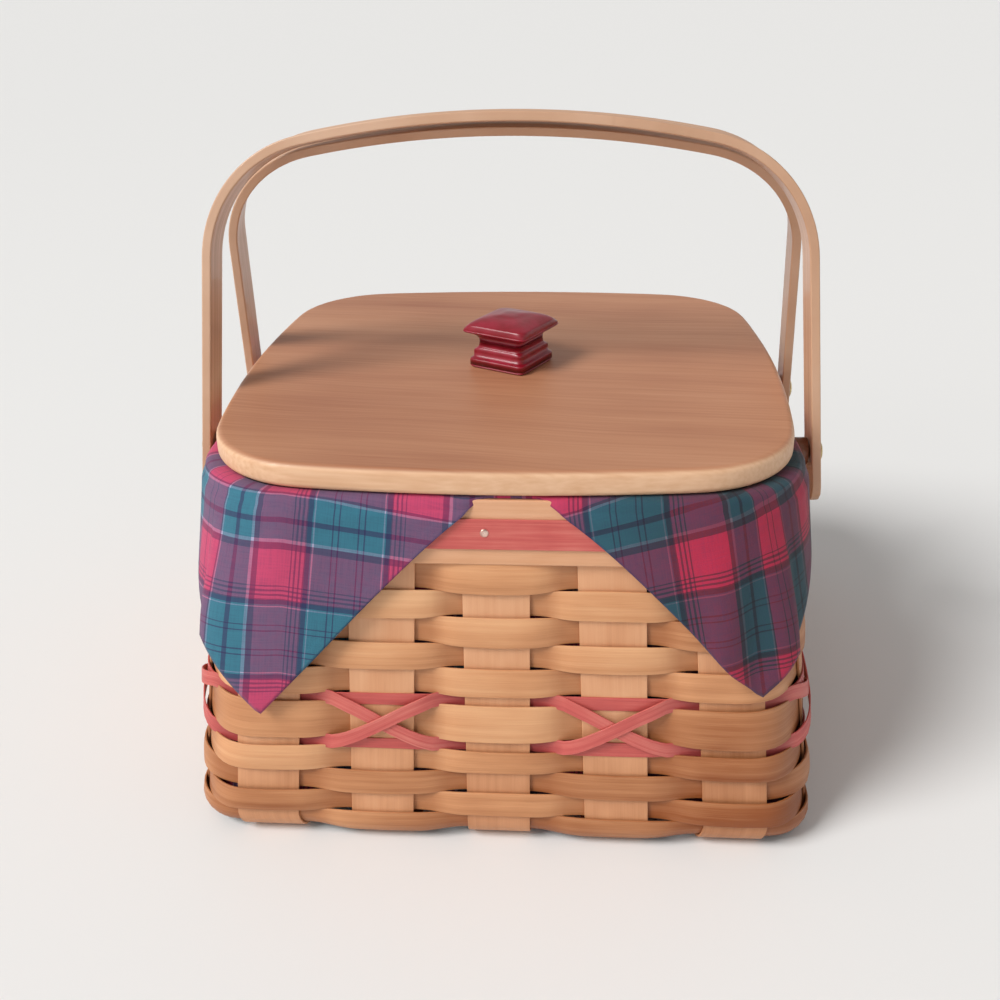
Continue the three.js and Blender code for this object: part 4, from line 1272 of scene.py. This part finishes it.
@dataclass
class Rim:
    """The bands that clamp the wall's top, the red strip laid on them, and its tacks."""

    wall: Wall
    band_top: float = 205.63
    band_bottom: float = 171.0
    band_inner: float = 1.0
    band_outer: float = 4.0
    strip_top: float = 196.0
    strip_height: float = 16.1
    strip_inner: float = 4.3
    strip_outer: float = 5.3
    tack_radius: float = 2.2
    tack_sunk: float = 0.6
    tack_edge: float = 0.1
    tack_rise: float = 0.7
    tack_down: float = 0.45
    tack_places: tuple[float, ...] = (
        -5.2, 92.0, 190.0, 262.0, 371.0, 545.0, 640.0, 752.0, 826.0, 948.0,
    )

    def band(
        self,
        name: str,
        node: str,
        heights: tuple[float, float],
        offs: tuple[float, float],
        red: bool = False,
    ) -> None:
        """Makes a band round the rim.

        Args:
            name: The piece's name.
            node: The node that it stands for.
            heights: Its top and bottom.
            offs: Its inner and outer distance from the stakes' middle surface.
            red: Whether it is the red strip.
        """
        wall = self.wall

        def place(along: float, across: float) -> Vector:
            """The band's middle surface."""
            level = wall.at_height(lerp(heights[0], heights[1], across))
            return wall.point(level, (along + 0.5) * level.quarter * 4, (offs[0] + offs[1]) / 2)

        size = (wall.at_height(heights[0]).quarter * 4, heights[0] - heights[1])
        edge = Edge(offs[1] - offs[0], 0.3 if red else 0.9, 3)
        piece = Piece.strip(name, (240, 4), size, place, edge, even(0.35))
        finish, slot = (Finish.RED, "red_splint") if red else (Finish.RIM, "rim_wood")
        Piece.fit(piece, finish, "basket", slot, node)

    def tacks(self) -> None:
        """Makes the small domed tacks that hold the red strip."""
        radius, edge = self.tack_radius, self.tack_edge
        profile = [(0.0, -self.tack_sunk), (radius, -self.tack_sunk), (radius, edge)]
        profile += dome(radius, edge, self.tack_rise, 6)
        level = self.wall.at_height(self.strip_top - self.strip_height * self.tack_down)
        for number, along in enumerate(self.tack_places, 1):
            seat = self.wall.point(level, along, self.strip_outer) * MM
            outward = (self.wall.point(level, along, self.strip_outer + 1) * MM - seat).normalized()
            turn = outward.to_track_quat("Z", "Y").to_matrix().to_4x4()
            piece = Piece.turned(f"rim_tack_{number}", profile, Matrix.Translation(seat) @ turn, 20)
            Piece.fit(piece, Finish.TACK, "basket", "brass")

    def build(self) -> None:
        """Makes the rim."""
        band = (self.band_top, self.band_bottom)
        strip = (self.strip_top, self.strip_top - self.strip_height)
        self.band("outer_rim_hoop", "outer_rim_band", band, (self.band_inner, self.band_outer))
        self.band("inner_rim_hoop", "inner_rim_band", band, (-self.band_outer, -self.band_inner))
        self.band("red_rim_hoop", "red_rim_strip", strip, (self.strip_inner, self.strip_outer), True)
        self.tacks()


@dataclass(frozen=True)
class Check:
    """How the check lies on one tip, in millimetres from the tip: where the middle of a teal band
    falls round the rim and down, how far the threads slant, and where the cloth bunches up towards
    the side."""

    middle: float
    down: float
    slant: float
    slope: float
    far_slope: float
    turn_from: float
    bunch_from: float
    bunch: float


@dataclass(frozen=True)
class Tip:
    """One hanging corner of the cloth, placed round the rim from the middle of the front.

    The drop and the reaches are in millimetres, curve is how much the edges hollow, and each pleat
    has its distance from the tip, its width and how far it stands out.
    """

    at: float
    drop: float
    before: float
    after: float
    curve: float
    check: Check
    pleats: tuple[Point, ...]


SMOOTH = ((-34.0, 22.0, 1.6), (-6.0, 12.0, -1.2), (22.0, 16.0, 1.4))
BUNCHED = ((-15.0, 9.0, 3.2), (-2.0, 7.0, -3.4), (12.0, 7.0, 1.6))
RIGHT_CHECK = Check(-59.4, 55.5, -0.12, -0.28, -0.12, 5.2, -12.0, 0.83)
BACK_RIGHT_CHECK = Check(36.0, 66.0, 0.04, 0.1, -0.05, 10.0, 8.0, 0.2)
BACK_LEFT_CHECK = Check(-30.0, 72.0, -0.04, -0.1, 0.05, -10.0, -12.0, 0.3)
LEFT_CHECK = Check(43.4, 70.2, 0.055, 0.15, -0.08, 9.6, 12.6, 0.2)


@dataclass
class Cloth:
    """The cloth lining: it covers the floor and the walls, goes over the rim and hangs out in four
    tips.

    Sizes are in millimetres, and the flat size in metres. The path from the middle of the floor to
    the hem has parts, each given by its start and its length as shares of the whole.
    """

    wall: Wall
    edge: Edge = Edge(0.9, 0.0)
    flat: tuple[float, float] = (0.70, 0.70)
    steps: tuple[int, int] = (440, 72)
    floor: float = 4.6
    floor_radius: float = 21.0
    standoff: float = 7.5
    rim_side: float = 5.1
    short_side: float = 1.5
    outside: float = 6.6
    over: float = 206.9
    turn: float = 5.0
    lap: float = 12.0
    floor_down: float = -260.0
    bend_down: float = -215.0
    ripple_down: float = 60.0
    least_hang: float = 0.9
    weft_share: float = 1.1
    far_hem: float = 0.05
    bend_part: tuple[float, float] = (0.1, 0.08)
    wall_part: tuple[float, float] = (0.18, 0.24)
    lap_part: tuple[float, float] = (0.42, 0.12)
    hang_part: tuple[float, float] = (0.54, 0.46)
    tips: tuple[Tip, ...] = (
        Tip(122.8, 106.3, 104.0, 93.0, 1.3, RIGHT_CHECK, BUNCHED),
        Tip(438.0, 122.0, 89.0, 104.0, 1.15, BACK_RIGHT_CHECK, SMOOTH),
        Tip(692.0, 116.0, 106.0, 89.0, 1.2, BACK_LEFT_CHECK, SMOOTH),
        Tip(1016.6, 121.9, 102.0, 111.0, 1.23, LEFT_CHECK, SMOOTH),
    )

    def __post_init__(self) -> None:
        """Works out the length of the rim."""
        self.rim_length = self.wall.at_height(self.wall.rim_top).quarter * 4

    def _away(self, along: float, tip: Tip) -> float:
        """The distance round the rim from a tip, by the shorter way."""
        return (along - tip.at + self.rim_length / 2) % self.rim_length - self.rim_length / 2

    def tip_at(self, along: float) -> tuple[Tip, float, float]:
        """The tip that a place round the rim belongs to.

        Args:
            along: The distance round the rim.

        Returns:
            The tip, the distance from it, and the share of its drop there.
        """
        found = []
        for tip in self.tips:
            away = self._away(along, tip)
            found.append((1 - (away / tip.after if away > 0 else -away / tip.before), away, tip))
        share, away, tip = max(found, key=lambda item: item[0])
        return tip, away, max(share, 0.0) ** tip.curve

    def path(self, along: float, share: float) -> tuple[float, float, float, float]:
        """The cloth's path at a place round the rim.

        Args:
            along: The distance round the rim.
            share: How far along the path, from the middle of the floor to the hem.

        Returns:
            The share of the floor, the distance out from the stakes, the height, and the distance
            down from the rim, which is negative inside.
        """
        tip, away, rise = self.tip_at(along)
        inside, radius, over = -self.standoff, self.floor_radius, self.over
        bend, face, lap, hang = (
            (share - start) / length
            for start, length in (self.bend_part, self.wall_part, self.lap_part, self.hang_part)
        )
        if bend < 0:
            return share / self.bend_part[0], inside - radius, self.floor, self.floor_down
        if face < 0:
            angle = bend * math.pi / 2
            lift = radius * (1 - math.cos(angle))
            out = inside - radius + radius * math.sin(angle)
            return 1.0, out, self.floor + lift, self.bend_down + lift
        if lap < 0:
            height = lerp(self.floor + radius, over - self.turn, face)
            ripple = self._ripple(along) * ease(over - self.turn, over - self.ripple_down, height)
            return 1.0, inside + ripple, height, height - over
        reach = ease(0.0, 0.07, rise)
        edge = lerp(self.short_side, self.rim_side, reach)
        if hang < 0:
            angle = lap * math.pi
            flat = abs(math.cos(angle)) ** 0.7 * math.copysign(1, math.cos(angle))
            drop = self.turn * (1 - math.sin(angle) ** 0.6)
            if angle >= math.pi / 2:
                drop *= reach
            down = lerp(-self.turn, self.lap, lap)
            return 1.0, lerp(inside, edge, (1 - flat) / 2), over - drop, down
        fall = max(tip.drop * rise - self.turn, self.least_hang) * hang
        out = edge + (self.outside - self.rim_side) * ease(0, 5, fall) * reach
        out += self._fold(along, away, tip) * ease(4, 70, fall)
        return 1.0, out, over - (self.turn * reach + fall), self.lap + fall

    def threads(self, tip: Tip, away: float, down: float) -> tuple[float, float]:
        """Args:
            tip: The tip that it belongs to.
            away: The distance round the rim from the tip.
            down: The distance down from the rim.

        Returns:
            The distances across the warp and the weft from the middles of teal bands, in metres.
        """
        check = tip.check
        hang = max(down - self.lap, 0.0)
        side = 1.0 if check.middle < 0 else -1.0
        bunched = max(side * (away - check.bunch_from), 0.0)
        across = away - check.middle + check.slant * hang + side * check.bunch * bunched
        turned = side * max(side * (away - check.turn_from), 0.0)
        tilt = check.slope * (away - turned) + check.far_slope * turned
        fall = down - self.lap - check.down - tilt * ease(-20, self.lap, down)
        return across * MM, fall / self.weft_share * MM

    @staticmethod
    def _ripple(along: float) -> float:
        """Soft ripples on the inside."""
        return 1.1 * math.sin(along / 21.0) + 0.8 * math.sin(along / 12.3 + 1.3) - 0.6

    def _fold(self, along: float, away: float, tip: Tip) -> float:
        """How far the cloth stands out near the hem: more at the corners, and less at the sides,
        where the handles pass.

        Args:
            along: The distance round the rim.
            away: The distance from the tip.
            tip: The tip.

        Returns:
            The distance in millimetres.
        """
        quarter = self.rim_length / 4
        corner = ease(50, 0, abs((along / quarter) % 1.0 - 0.5) * quarter)
        wave = sum(
            height * math.exp(-(((away - spot) / width) ** 2)) for spot, width, height in tip.pleats
        )
        if math.floor(along / quarter + 0.5) % 2 == 0:
            return max(1.6 + wave + 3.4 * corner, -1.0)
        return max(0.35 + 0.2 * wave + corner, -1.0)

    def build(self) -> None:
        wall = self.wall
        whole = self.rim_length

        def point(along: float, share: float) -> Vector:
            """The cloth's middle surface."""
            part, out, height, _ = self.path(along * whole, share)
            level = wall.at_height(max(height, wall.belly_height))
            spot = wall.point(level, along * level.quarter * 4, 0.0)
            ahead = wall.point(level, along * level.quarter * 4, 1.0) - spot
            spot = spot + Vector((ahead.x, ahead.y, 0.0)).normalized() * out
            return Vector((spot.x * part, spot.y * part, height))

        def surface(along: float, share: float, near: float) -> tuple[float, float]:
            """The cloth's threads: round the rim and down, and flat on the floor."""
            if share < self.bend_part[0]:
                spot = point(along, share)
                return spot.x * MM, spot.y * MM
            tip = self.tip_at(near * whole)[0]
            down = self.path(along * whole, share)[3]
            return self.threads(tip, self._away(along * whole, tip), down)

        def hem(along: float, share: float) -> float:
            """The distance from the hem, in metres."""
            tip, away, rise = self.tip_at(along * whole)
            if share < self.hang_part[0] or rise <= 0:
                return self.far_hem
            depth = self.over - self.path(along * whole, share)[2]
            slope = math.hypot(1, tip.drop / (tip.after if away > 0 else tip.before))
            return max(tip.drop * rise - depth, 0.0) / slope * MM

        def shaded_side(along: float, share: float) -> float:
            """How much painted shade the cloth gets: most on the right side, away from the key light."""
            return ease(-0.35, 0.55, math.sin(math.tau * along - 0.1))

        marks = {"hem": hem, "tone": shaded_side}
        piece = Piece.strip("plaid_liner", self.steps, (1, 1), point, self.edge, marks, surface)
        Piece.fit(piece, Finish.CLOTH, "basket", "cloth", "cloth_liner")


@dataclass
class Lid:
    """The lid board with its battens and knob. The knob's outline has shares of its width and of its
    height, and how square it is there."""

    half: float = 159.01
    radius: float = 61.5
    bow: float = 5.4
    side_share: float = 0.42
    corner_share: float = 0.58
    bottom: float = 207.8
    thickness: float = 13.5
    round: float = 3.6
    outline_steps: int = 192
    smoothings: int = 14
    inset: float = 0.6
    batten_length: float = 210.0
    batten_width: float = 20.0
    batten_thickness: float = 8.0
    batten_spread: float = 105.0
    batten_round: float = 1.6
    gap: float = 0.3
    knob_width: float = 43.8
    knob_height: float = 30.3
    knob_turn: float = -math.radians(28.5)
    knob_steps: int = 120
    outline: tuple[Point, ...] = (
        (0.83, 0.0, 12), (0.862, 0.02, 12), (0.868, 0.05, 12), (0.868, 0.14, 12), (0.855, 0.17, 12),
        (0.81, 0.188, 12), (0.785, 0.205, 12), (0.783, 0.318, 12), (0.77, 0.343, 12),
        (0.735, 0.36, 12), (0.7, 0.385, 10), (0.683, 0.43, 9), (0.682, 0.51, 8), (0.694, 0.565, 8),
        (0.73, 0.612, 9), (0.8, 0.655, 10), (0.9, 0.692, 11), (0.975, 0.712, 12), (1.0, 0.732, 12),
        (0.988, 0.762, 12), (0.963, 0.792, 12), (0.925, 0.826, 11), (0.865, 0.866, 9.5),
        (0.775, 0.907, 8), (0.65, 0.945, 6.5), (0.49, 0.973, 5), (0.31, 0.99, 4), (0.15, 0.998, 3),
        (0.05, 1.0, 2),
    )

    def edge_point(self, share: float) -> tuple[float, float]:
        """A point on the lid's outline.

        Args:
            share: The share of the way round.

        Returns:
            X and Y in millimetres.
        """
        side = math.floor(share * 4)
        part = share * 4 - side
        half = self.half - self.bow
        flat = half - self.radius
        if part < self.side_share:
            step = part / self.side_share
            depth = half + self.bow * 4 * step * (1 - step)
            return quarter_turns(lerp(-flat, flat, step), -depth, side)
        angle = (part - self.side_share) / self.corner_share * math.pi / 2
        x, y = flat + self.radius * math.sin(angle), -(flat + self.radius * math.cos(angle))
        return quarter_turns(x, y, side)

    def board(self) -> None:
        """Makes the lid board, with its corners eased into its sides."""
        bm = bmesh.new()
        bmesh.ops.create_circle(bm, cap_ends=False, radius=1.0, segments=self.outline_steps)
        for vert in bm.verts:
            angle = math.atan2(vert.co.x, -vert.co.y) % math.tau
            x, y = self.edge_point((angle / math.tau - self.side_share / 8 + 1 / 8) % 1.0)
            vert.co = Vector((x, y, self.bottom)) * MM
        for _ in range(self.smoothings):
            verts = bm.verts[:]
            bmesh.ops.smooth_vert(bm, verts=verts, factor=0.5, use_axis_x=True, use_axis_y=True)
        bmesh.ops.contextual_create(bm, geom=bm.edges[:])
        grown = bmesh.ops.extrude_face_region(bm, geom=bm.faces[:])["geom"]
        raised = [item for item in grown if isinstance(item, bmesh.types.BMVert)]
        bmesh.ops.translate(bm, verts=raised, vec=(0, 0, self.thickness * MM))
        bmesh.ops.recalc_face_normals(bm, faces=bm.faces[:])
        sharp = [edge for edge in bm.edges if any(len(face.verts) > 4 for face in edge.link_faces)]
        bmesh.ops.bevel(
            bm,
            geom=sharp,
            offset=self.round * MM,
            segments=6,
            profile=0.5,
            affect="EDGES",
            material=-1,
        )
        for face in [face for face in bm.faces if len(face.verts) > 4]:
            inset = self.inset * MM
            bmesh.ops.inset_region(bm, faces=[face], thickness=inset, use_even_offset=True)
        Piece.fit(Piece.add("lid_panel", bm), Finish.LID, "lid", "lid_wood", "lid_board")

    def batten(self, hand: str, side: int) -> None:
        """Makes a batten under the lid.

        Args:
            hand: "front" or "back".
            side: -1 for the front one, 1 for the back one.
        """
        half = self.batten_length / 2
        height = self.bottom - self.gap - self.batten_thickness / 2
        spread = side * self.batten_spread

        def place(along: float, across: float) -> Vector:
            """The batten's middle surface."""
            y = spread + (across - 0.5) * self.batten_width
            return Vector((lerp(-half, half, along), y, height))

        size = (self.batten_length, self.batten_width)
        edge = Edge(self.batten_thickness, self.batten_round, 3)
        piece = Piece.strip(f"{hand}_batten_bar", (12, 2), size, place, edge)
        Piece.fit(piece, Finish.BATTEN, "lid", "rim_wood", f"lid_batten_{hand}")

    def knob(self) -> None:
        """Makes the knob: a stepped square foot, a hollow neck and a pillowed square top."""
        bm = bmesh.new()
        bmesh.ops.create_circle(bm, cap_ends=True, radius=1.0, segments=self.knob_steps)
        spin = Matrix.Rotation(self.knob_turn, 3, "Z")
        foot = self.bottom + self.thickness + self.gap
        angles = bm.verts.layers.float.new("turn")
        for vert in bm.verts:
            vert[angles] = math.atan2(vert.co.y, vert.co.x)
        top = bm.faces[:][0]
        for number, (width, height, square) in enumerate(self.outline):
            if number:
                grown = bmesh.ops.extrude_face_region(bm, geom=[top])["geom"]
                top = next(item for item in grown if isinstance(item, bmesh.types.BMFace))
            for vert in top.verts:
                cosine, sine = math.cos(vert[angles]), math.sin(vert[angles])
                spread = (abs(cosine) ** square + abs(sine) ** square) ** (1 / square)
                reach = width * self.knob_width / 2 / spread
                rise = foot + height * self.knob_height
                vert.co = spin @ Vector((reach * cosine, reach * sine, rise)) * MM
        bmesh.ops.recalc_face_normals(bm, faces=bm.faces[:])
        Piece.fit(Piece.add("red_knob", bm), Finish.KNOB, "lid", "red_lacquer", "lid_knob")

    def build(self) -> None:
        """Makes the lid."""
        self.board()
        self.batten("front", -1)
        self.batten("back", 1)
        self.knob()


@dataclass
class Handles:
    """The two bent-wood swing handles with their rivets and spacers. Each handle has its crown's
    height over the pivots and its lean over the basket."""

    spread: float = 174.0
    splay: float = 0.0875
    shoulder: float = 68.0
    crown_angle: float = 0.21
    front_reach: float = 181.5
    back_reach: float = 184.5
    front_lean: float = 0.1420
    back_lean: float = 0.332
    width: float = 22.0
    tip_share: float = 0.28
    thickness: float = 5.2
    round: float = 1.3
    grain_gap: float = 0.4
    foot_drop: float = 28.0
    pivot: float = 51.0
    pivot_height: float = 187.3
    rivet_radius: float = 2.5
    rivet_head: float = 6.0
    rivet_crown: float = 1.8
    tail_radius: float = 5.0
    tail_thickness: float = 1.2
    spacer_radius: float = 8.0
    spacer_bore: float = 2.8
    spacer_soft: float = 0.5
    gap: float = 0.3
    leg_steps: int = 28
    shoulder_steps: int = 22
    crown_steps: int = 24

    def line(self, reach: float) -> list[tuple[float, float]]:
        """The handle's middle line in its own plane, from foot over crown to foot.

        Args:
            reach: The crown's height over the pivots.

        Returns:
            Each point's place across and up.
        """
        splay = math.atan(self.splay)
        radius = self.shoulder
        sine, cosine = math.sin(self.crown_angle), math.cos(self.crown_angle)
        shoulder_height = reach - radius * cosine + radius * math.sin(splay)
        leg_top = self.spread - shoulder_height * self.splay
        crown = leg_top - radius * (math.cos(splay) - sine)
        crown /= sine - (1 - cosine) * self.splay
        middle_x = (crown - radius) * sine
        middle_z = reach - crown + (crown - radius) * cosine
        half: list[tuple[float, float]] = []
        leg_end = middle_z + radius * math.sin(splay)
        for step in range(self.leg_steps):
            height = lerp(-self.foot_drop, leg_end, step / self.leg_steps)
            half.append((self.spread - height * self.splay, height))
        for step in range(self.shoulder_steps):
            angle = lerp(splay, math.pi / 2 - self.crown_angle, step / self.shoulder_steps)
            half.append((middle_x + radius * math.cos(angle), middle_z + radius * math.sin(angle)))
        for step in range(self.crown_steps + 1):
            angle = math.pi / 2 - self.crown_angle * (1 - step / self.crown_steps)
            half.append((crown * math.cos(angle), reach - crown * (1 - math.sin(angle))))
        return half + [(-x, z) for x, z in reversed(half[:-1])]

    def handle(self, node: str, side: int, reach: float, lean: float) -> None:
        """Makes one handle.

        Args:
            node: The node that it stands for, and its body.
            side: -1 for the front one, 1 for the back one.
            reach: The crown's height over the pivots.
            lean: How far it leans over the basket, in radians.
        """
        line = self.line(reach)
        spin = Matrix.Translation((0, side * self.pivot, self.pivot_height))
        spin @= Matrix.Rotation(side * lean, 4, "X")
        distances = [0.0]
        for first, second in zip(line, line[1:]):
            distances.append(distances[-1] + math.dist(first, second))
        whole = distances[-1]
        count = len(line) - 1
        radius = self.width / 2

        def place(along: float, across: float) -> Vector:
            """The handle's middle surface, narrowed to a round foot at each end."""
            step = round(along * count)
            x, z = line[step]
            from_end = min(distances[step], whole - distances[step])
            width = self.width
            if from_end < radius:
                bulk = max(radius**2 - (radius - from_end) ** 2, (self.tip_share * radius) ** 2)
                width = 2 * math.sqrt(bulk)
            return spin @ Vector((x, (across - 0.5) * width, z))

        def surface(along: float, across: float, near: float) -> tuple[float, float]:
            """The handle's grain, along its bend."""
            down = distances[round(along * count)] * MM
            return down, side * self.grain_gap + across * self.width * MM

        size = (whole, self.width)
        edge = Edge(self.thickness, self.round, 4)
        piece = Piece.strip(f"{node}_bow", (count, 6), size, place, edge, None, surface)
        Piece.fit(piece, Finish.HANDLE, node, "handle_wood", node)
        LOG.info("%s reaches %.1f mm, in the box %s", node, reach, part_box(node))

    def pins(self, wall: Wall, rim: Rim) -> None:
        """Makes the rivets and the spacers.

        Args:
            wall: The wall.
            rim: The rim.
        """
        stakes = wall.at_height(self.pivot_height).half
        slope = max(wall.lean, self.splay)
        tail = stakes - rim.band_outer - self.tail_radius * slope - self.gap
        inner = stakes + rim.strip_outer + self.spacer_radius * slope + self.gap
        outer = self.spread - self.thickness / 2 - self.spacer_radius * slope - self.gap
        head = self.spread + self.thickness / 2 + self.rivet_head * slope + self.gap
        pin = [(0.0, tail - self.tail_thickness), (self.tail_radius, tail - self.tail_thickness)]
        pin += [(self.tail_radius, tail), (self.rivet_radius, tail), (self.rivet_radius, head)]
        pin += [(self.rivet_head, head), *dome(self.rivet_head, head, self.rivet_crown, 8)]
        bore, radius, soft = self.spacer_bore, self.spacer_radius, self.spacer_soft
        ring = [(bore, inner), (radius - soft, inner), (radius, inner + soft)]
        ring += [(radius, outer - soft), (radius - soft, outer), (bore, outer), (bore, inner)]
        for front, y in (("front", -1), ("back", 1)):
            for hand, x in (("left", -1), ("right", 1)):
                place = Matrix.Translation(Vector((0, y * self.pivot, self.pivot_height)) * MM)
                place @= Matrix.Rotation(x * math.pi / 2, 4, "Y")
                end = f"{front}_{hand}"
                rivet = Piece.turned(f"rivet_{end}", pin, place)
                Piece.fit(rivet, Finish.METAL, "basket", "brass", f"pivot_rivet_{end}")
                spacer = Piece.turned(f"spacer_{end}", ring, place)
                Piece.fit(spacer, Finish.SHADED_SPACER, "basket", "handle_wood", f"pivot_spacer_{end}")

    def build(self, wall: Wall, rim: Rim) -> None:
        """Makes both handles and their pins."""
        self.handle("front_handle", -1, self.front_reach, self.front_lean)
        self.handle("back_handle", 1, self.back_reach, self.back_lean)
        self.pins(wall, rim)


@dataclass
class Studio:
    """The floor, the lights and the camera, in metres and radians."""

    lens: float = 40.17
    camera_place: Point = (0.03671, -0.6424, 0.44625)
    yaw: float = -0.07003
    pitch: float = 0.45876
    roll: float = -0.01658
    floor_radius: float = 40.0
    floor_drop: float = 0.0004
    wall_color: Color = shade(233, 232, 230)
    roof_color: Color = shade(166, 166, 166)
    wall_rise: tuple[float, float] = (0.2, 0.34)
    sun_way: Point = (0.8, 0.5, -0.93)
    sun_spread: float = math.radians(24)
    sun_power: float = 2.65
    softbox_place: Point = (-1.6, -1.5, 1.2)
    softbox_aim: Point = (0.0, 0.0, 0.15)
    softbox_size: float = 0.7
    softbox_power: float = 5.5
    softbox_color: Point = (1.0, 0.98, 0.95)

    def camera(self) -> None:
        """Makes the camera at the photograph's angle."""
        data = bpy.data.cameras.new("view")
        data.lens = self.lens
        data.sensor_width = 36.0
        data.sensor_fit = "HORIZONTAL"
        data.clip_start = 0.01
        data.clip_end = 200.0
        camera = bpy.data.objects.new("view", data)
        ahead, cosine, sine = math.cos(self.pitch), math.cos(self.yaw), math.sin(self.yaw)
        forward = Vector((sine * ahead, cosine * ahead, -math.sin(self.pitch)))
        right = Vector((cosine, -sine, 0.0))
        up = right.cross(forward)
        side = math.cos(self.roll) * right + math.sin(self.roll) * up
        top = -math.sin(self.roll) * right + math.cos(self.roll) * up
        turn = Matrix((side, top, -forward)).transposed()
        camera.matrix_world = Matrix.Translation(self.camera_place) @ turn.to_4x4()
        bpy.context.scene.collection.objects.link(camera)
        bpy.context.scene.camera = camera

    @staticmethod
    def lamp(name: str, kind: str, toward: Vector, settings: dict[str, object]) -> bpy.types.Object:
        """Makes a light.

        Args:
            name: The light's name.
            kind: Its type.
            toward: The direction that it shines in.
            settings: Its other settings.

        Returns:
            The light.
        """
        data = bpy.data.lights.new(name, kind)
        for key, value in settings.items():
            setattr(data, key, value)
        lamp = bpy.data.objects.new(name, data)
        lamp.rotation_mode = "QUATERNION"
        lamp.rotation_quaternion = toward.to_track_quat("-Z", "Y")
        bpy.context.scene.collection.objects.link(lamp)
        return lamp

    def surround(self) -> bpy.types.World:
        """The even light from all round: as pale as the floor low down, grayer overhead."""
        graph = Graph("studio", world=True)
        rise = graph.split(graph.node("ShaderNodeTexCoord", {}, {}).outputs["Generated"])[2]
        colors = graph.ramp(rise, list(zip(self.wall_rise, (self.wall_color, self.roof_color))))
        background = graph.node("ShaderNodeBackground", {}, {0: colors})
        graph.node("ShaderNodeOutputWorld", {}, {0: background.outputs[0]})
        return graph.owner

    def build(self) -> None:
        """Makes the studio."""
        scene = bpy.context.scene
        scene.view_settings.view_transform = "Standard"
        scene.view_settings.look = "None"
        scene.world = self.surround()
        bm = bmesh.new()
        bmesh.ops.create_circle(bm, cap_ends=True, radius=self.floor_radius, segments=64)
        bmesh.ops.translate(bm, verts=bm.verts[:], vec=(0, 0, -self.floor_drop))
        floor = Piece.add("floor", bm)
        floor.data.materials.append(Finish.FLOOR.material())
        sun = {"angle": self.sun_spread, "energy": self.sun_power}
        self.lamp("key", "SUN", Vector(self.sun_way), sun)
        square = {"shape": "SQUARE", "size": self.softbox_size, "energy": self.softbox_power}
        square["color"] = self.softbox_color
        toward = Vector(self.softbox_aim) - Vector(self.softbox_place)
        self.lamp("softbox", "AREA", toward, square).location = self.softbox_place
        self.camera()


def dress_nodes(nodes: dict[str, bpy.types.Object]) -> None:
    """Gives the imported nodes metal. Only the knob's screw is still shown once the pieces are made."""
    for node in nodes.values():
        node.data.materials.clear()
        node.data.materials.append(Finish.METAL.material())


def main() -> None:
    """Builds the basket round the frame."""
    logging.basicConfig(level=logging.INFO, format="%(message)s")
    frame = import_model()
    dress_nodes(frame["nodes"])
    wall = Wall()
    rim = Rim(wall)
    Body(wall).build()
    rim.build()
    Cloth(wall).build()
    Lid().build()
    Handles().build(wall, rim)
    Studio().build()


if __name__ == "__main__":
    main()
